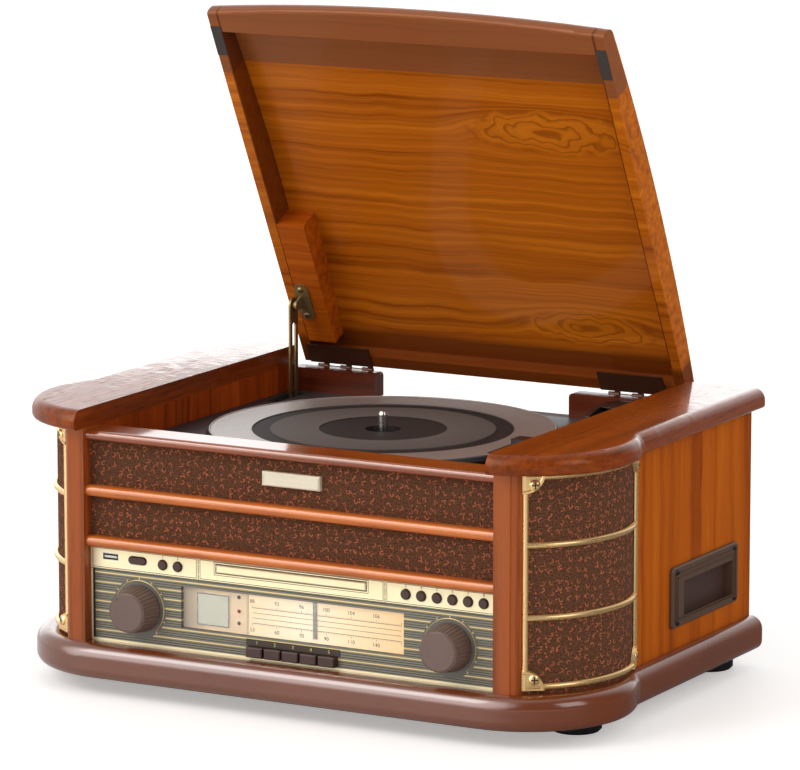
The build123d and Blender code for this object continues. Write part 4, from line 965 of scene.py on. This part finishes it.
edges = bmesh.new()
print_y = (strip_y - PRINT, strip_y)
for left, right in zip((trim_low.x, *STRIP_JOINTS), (*STRIP_JOINTS, trim_high.x)):
    plate_x, plate_z = (left + OUTLINE_X, right - OUTLINE_X), (STRIP_LOW + OUTLINE_Z, STRIP_HIGH - OUTLINE_Z)
    frame_bars(edges, plate_x, print_y, plate_z, LINE)
drawer_low, drawer_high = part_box("cd_drawer")
slot_x = (drawer_low.x - DRAWER_MARGIN, drawer_high.x + DRAWER_MARGIN)
slot_z = (drawer_low.z - DRAWER_MARGIN, drawer_high.z + DRAWER_MARGIN)
frame_bars(edges, slot_x, print_y, slot_z, LINE)
bar(edges, (trim_low.x, trim_high.x), print_y, (STRIP_LOW, STRIP_LOW + LINE))
piece_of("plate_outlines", edges, dark_ink_and_slot_shade, smooth=False)

ARC_R = 0.0216
ARC_START, ARC_SWEEP = -50, 280  # degrees round a knob
ARC_STEPS, ARC_TICKS = 64, 10
ARC_RIDGE = ((-LINE, 0), (0, LINE), (LINE, 0))
TICK_REACH = (ARC_R + 0.0008, ARC_R + 0.0024)


def knob_ways(count):
    """Directions round a knob, spread evenly along its scale."""
    turns = [math.radians(ARC_START + ARC_SWEEP * step / count) for step in range(count + 1)]
    return [EAST * math.cos(turn) + UP * math.sin(turn) for turn in turns]


arcs = bmesh.new()
for knob_x in (VOLUME_X, TUNING_X):
    middle = Vector((knob_x, panel_y, KNOB_Z))
    ways = knob_ways(ARC_STEPS)
    skin(arcs, [[middle + way * (ARC_R + off) - NORTH * out for off, out in ARC_RIDGE] for way in ways])
    for way in knob_ways(ARC_TICKS):
        aside = way.cross(NORTH) * LINE
        ends = [middle + way * reach - NORTH * PRINT for reach in TICK_REACH]
        skin(arcs, [[end - aside, end + aside] for end in ends])
piece_of("knob_scales", arcs, gold_line, smooth=False)

scale = bmesh.new()
scale_left, scale_right = SCALE_X + 0.003, dial_high.x - 0.004
scale_width = scale_right - scale_left
ROWS = (0.0052, 0.0014, -0.0026, -0.0066)  # lines of the tuning scale above its middle
ink_y = (dial_y - 0.00012, dial_y)
for row in ROWS:
    bar(scale, (scale_left, scale_right), ink_y, (DIAL_Z + row, DIAL_Z + row + LINE * 0.7))
TICKS = 60
TICK_TALL, TICK_SHORT = 0.0026, 0.0012
for tick in range(TICKS + 1):
    x = scale_left + scale_width * tick / TICKS
    tall = TICK_TALL if tick % 10 == 0 else TICK_SHORT
    thin = (x - LINE * 0.3, x + LINE * 0.3)
    bar(scale, thin, ink_y, (DIAL_Z + ROWS[0], DIAL_Z + ROWS[0] + tall))
    bar(scale, thin, ink_y, (DIAL_Z + ROWS[3] - tall, DIAL_Z + ROWS[3]))
for x in (SCALE_X, SCALE_X - 0.0015):
    bar(scale, (x - LINE * 0.5, x), ink_y, (dial_low.z + 0.0005, dial_high.z - 0.0005))
piece_of("tuning_scale", scale, print_ink, smooth=False)

SCALE_TEXT, KEY_TEXT, BUTTON_TEXT = 0.0042, 0.0036, 0.0028  # sizes of the printed numbers
NUMBERS_OFF = 0.0052  # from the scale's outer lines to the middles of its numbers
number_rows = (
    (DIAL_Z + ROWS[0] + NUMBERS_OFF, ("88", "92", "96", "100", "104", "106")),
    (DIAL_Z + ROWS[3] - NUMBERS_OFF, ("53", "60", "70", "90", "110", "140")),
)
numbers = []
for height, texts in number_rows:
    numbers += [(text, scale_left + scale_width * step / 6, height) for step, text in enumerate(texts)]
figures("scale_numbers", numbers, SCALE_TEXT, dial_y - PRINT, print_ink)

LAMP_X, LAMP_HEIGHTS = -0.0474, (0.0655, 0.0748, 0.0856)
LAMP_PROFILE = ((0.0001, 0.001), (0.0009, 0.0008), (0.0014, 0.0003), (0.0015, 0.0))
lamp_grey = plastic("lamp_grey", rgb(120, 120, 120), rgb(84, 84, 84), roughness=0.2)
lamp_red = plastic("lamp_red", rgb(196, 62, 48), rgb(150, 34, 28), roughness=0.2)
for number, (height, finish) in enumerate(zip(LAMP_HEIGHTS, (lamp_grey, lamp_red, lamp_grey)), start=1):
    lamp = bmesh.new()
    turned(lamp, Vector((LAMP_X, dial_y - 0.0007, height)), EAST, UP, LAMP_PROFILE)
    piece_of(f"dial_lamp_{number}", lamp, finish)

display = bmesh.new()
display_x = (DISPLAY_X - DISPLAY_W, DISPLAY_X + DISPLAY_W)
display_y = (dial_y - 0.0016, dial_y - 0.0012)
display_z = (DIAL_Z - DISPLAY_H, DIAL_Z + DISPLAY_H)
frame_bars(display, display_x, display_y, display_z, 0.0009)
piece_of("display_bezel", display, steel, smooth=False)

KEY_STRIP = ((-0.0392, 0.0422), (0.0503, 0.0553))
labels = bmesh.new()
bar(labels, KEY_STRIP[0], (panel_y - 0.0005, panel_y), KEY_STRIP[1])
piece_of("key_label_strip", labels, dark_ink_and_slot_shade, smooth=False)
key_marks, button_marks = [], []
for number in range(1, 6):
    low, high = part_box(f"key_{number}")
    key_marks.append((str(number), (low.x + high.x) / 2, sum(KEY_STRIP[1]) / 2))
for number in range(1, 9):
    low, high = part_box(f"button_{number}")
    button_marks.append((str(number), (low.x + high.x) / 2, high.z + 0.0023))
figures("key_numbers", key_marks, KEY_TEXT, panel_y - 0.0006, gold_line)
figures("button_numbers", button_marks, BUTTON_TEXT, strip_y - 0.00015, print_ink)

# ---------------- badge rim, lid screws and tape door
badge_low, badge_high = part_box("badge_plate")
BADGE_INSET = 0.0012
rim = bmesh.new()
badge_x = (badge_low.x + BADGE_INSET, badge_high.x - BADGE_INSET)
badge_z = (badge_low.z + BADGE_INSET, badge_high.z - BADGE_INSET)
frame_bars(rim, badge_x, (badge_low.y - 0.0004, badge_low.y), badge_z, 0.0008)
piece_of("badge_rim", rim, badge_steel, smooth=False)

LID_BACK = 0.00255  # from the hinge pin to the closed lid's back edge
BRACKET_X, BRACKET_ALONG = -0.1583, (0.0480, 0.0728)
BRACKET_RISE = 0.0007  # its face, above the pin
BRACKET_SCREW_R = 0.0026
swing = Matrix.Rotation(-lid_angle, 3, "X")
bracket_screws = []
for along in BRACKET_ALONG:
    centre = lid_pin + swing @ Vector((0, -LID_BACK - along, BRACKET_RISE)) + EAST * BRACKET_X
    bracket_screws.append((centre, -EAST, swing @ NORTH))
screws("lid_bracket_screws", bracket_screws, BRACKET_SCREW_R, "lid", aged_brass)

door = bmesh.new()
door_x = bezel_high.x
TAPE_RIDGES = ((0.0050, 0.0010, 0.0007, 0.0), (0.0085, 0.0008, 0.0006, 0.0016))  # inset, width, rise, drop
TAPE_SCREW_Y, TAPE_SCREW_Z, TAPE_SCREW_R = 0.0078, 0.0040, 0.0022
for inset, width, rise, drop in TAPE_RIDGES:
    x = (door_x, door_x + rise)
    y = (bezel_low.y + inset, bezel_high.y - inset)
    z = (bezel_low.z + inset - drop, bezel_high.z - inset)
    bar(door, x, y, (z[0], z[0] + width))
    bar(door, x, y, (z[1] - width, z[1]))
    bar(door, x, (y[0], y[0] + width), z)
    bar(door, x, (y[1] - width, y[1]), z)
piece_of("tape_door_ridges", door, bezel_brown, smooth=False)
tape_screws = []
for y in (bezel_low.y + TAPE_SCREW_Y, bezel_high.y - TAPE_SCREW_Y):
    for z in (bezel_low.z + TAPE_SCREW_Z, bezel_high.z - TAPE_SCREW_Z):
        tape_screws.append((Vector((door_x, y, z)), NORTH, UP))
screws("tape_door_screws", tape_screws, TAPE_SCREW_R, "cabinet", black_plastic)

# ---------------- camera, lamps and floor
CAMERA_PLACE = Vector((1.9140, -3.4652, 0.9502))
CAMERA_TARGET = Vector((0.0194, -0.0225, 0.2340))
SENSOR_WIDTH, LENS = 36.0, 234.0
ROOM_DARK = 0.10  # what glossy faces mirror in front of the set
ROOM_FILL = 0.62
FLOOR_GLOW = 0.38
SOFT_GLOWS = (  # direction, where its edge starts and ends, and strength
    ((-0.435, -0.785, 0.440), (0.70, 0.96), 3.6),
    ((-0.480, 0.860, 0.180), (0.80, 0.98), 0.9),
)

camera_data = bpy.data.cameras.new("camera")
camera_data.sensor_width = SENSOR_WIDTH
camera_data.lens = LENS
camera_data.clip_end = 50
camera = bpy.data.objects.new("camera", camera_data)
camera.location = CAMERA_PLACE
camera.rotation_euler = (CAMERA_TARGET - CAMERA_PLACE).to_track_quat("-Z", "Y").to_euler()
bpy.context.collection.objects.link(camera)
bpy.context.scene.camera = camera


def soft_box(name, place, target, size, power):
    """A large square lamp that faces its target."""
    data = bpy.data.lights.new(name, "AREA")
    data.shape = "RECTANGLE"
    data.size, data.size_y = size
    data.energy = power
    lamp = bpy.data.objects.new(name, data)
    lamp.location = place
    lamp.rotation_euler = (Vector(target) - Vector(place)).to_track_quat("-Z", "Y").to_euler()
    bpy.context.collection.objects.link(lamp)


soft_box("key_lamp", (-1.6, -2.2, 2.4), (0, 0, 0.2), (1.6, 1.6), 34)
soft_box("side_lamp", (2.6, -0.6, 1.5), (0, 0, 0.2), (1.2, 1.6), 16)

world = bpy.data.worlds.new("studio")
bpy.context.scene.world = world
world.use_nodes = True
backdrop = world.node_tree.nodes["Background"]
backdrop.inputs["Color"].default_value = (1, 1, 1, 1)
sky = Shader(world.node_tree)
path = sky.node("ShaderNodeLightPath")
east, north, high = sky.parts(sky.node("ShaderNodeTexCoord").outputs["Generated"])
lean = sky.plus(sky.times(high, 0.75), sky.times(north, 0.55))
lean = sky.minus(lean, sky.times(east, 1.5))
mirrored = sky.plus(ROOM_DARK, sky.times(sky.steps(lean, -0.35, 0.75), 1 - ROOM_DARK))
for (toward_x, toward_y, toward_z), (rim, heart), glow in SOFT_GLOWS:
    facing = sky.plus(sky.times(east, toward_x), sky.times(north, toward_y))
    facing = sky.plus(facing, sky.times(high, toward_z))
    mirrored = sky.plus(mirrored, sky.times(sky.steps(facing, rim, heart), glow))
plain = sky.times(sky.minus(1.0, path.outputs["Is Glossy Ray"]), ROOM_FILL)
strength = sky.plus(plain, sky.times(path.outputs["Is Glossy Ray"], mirrored))
seen = sky.most(path.outputs["Is Camera Ray"], path.outputs["Is Transmission Ray"])
sky.feed(backdrop.inputs["Strength"], sky.most(strength, seen))

FLOOR_REACH = 6.0
floor_mesh = bpy.data.meshes.new("floor")
corners = [(x * FLOOR_REACH, y * FLOOR_REACH, 0) for x, y in ((-1, -1), (1, -1), (1, 1), (-1, 1))]
floor_mesh.from_pydata(corners, [], [(0, 1, 2, 3)])
floor = bpy.data.objects.new("floor", floor_mesh)
bpy.context.collection.objects.link(floor)


def floor_glow(shader):
    """White paper, lifted to the backdrop's white where the camera looks at it, and painted dark to the right
    of the set where glossy faces mirror it: a painted dark reflection.
    """
    seen = shader.node("ShaderNodeLightPath").outputs["Is Camera Ray"]
    grain = shader.noise(shader.place(), 400.0, detail=2)
    paper = shader.blend(grain, (0.88, 0.87, 0.86, 1), (0.92, 0.91, 0.90, 1))
    x, y, _ = shader.parts(shader.place())
    # painted dark reflection: glossy rays see the floor to the right and back of the set as near black
    far = shader.times(shader.steps(x, 0.05, 0.3), shader.steps(y, -0.5, -0.1))
    mirrored = shader.times(shader.node("ShaderNodeLightPath").outputs["Is Glossy Ray"], far)
    return {
        "Base Color": shader.blend(mirrored, paper, (0.12, 0.12, 0.12, 1)),
        "Emission Strength": shader.times(seen, FLOOR_GLOW),
    }


floor_white = finish_of("floor_white", floor_glow, Roughness=0.6, Emission_Color=(1, 0.99, 0.97, 1))
floor_mesh.materials.append(floor_white)

bpy.context.scene.view_settings.view_transform = "Standard"
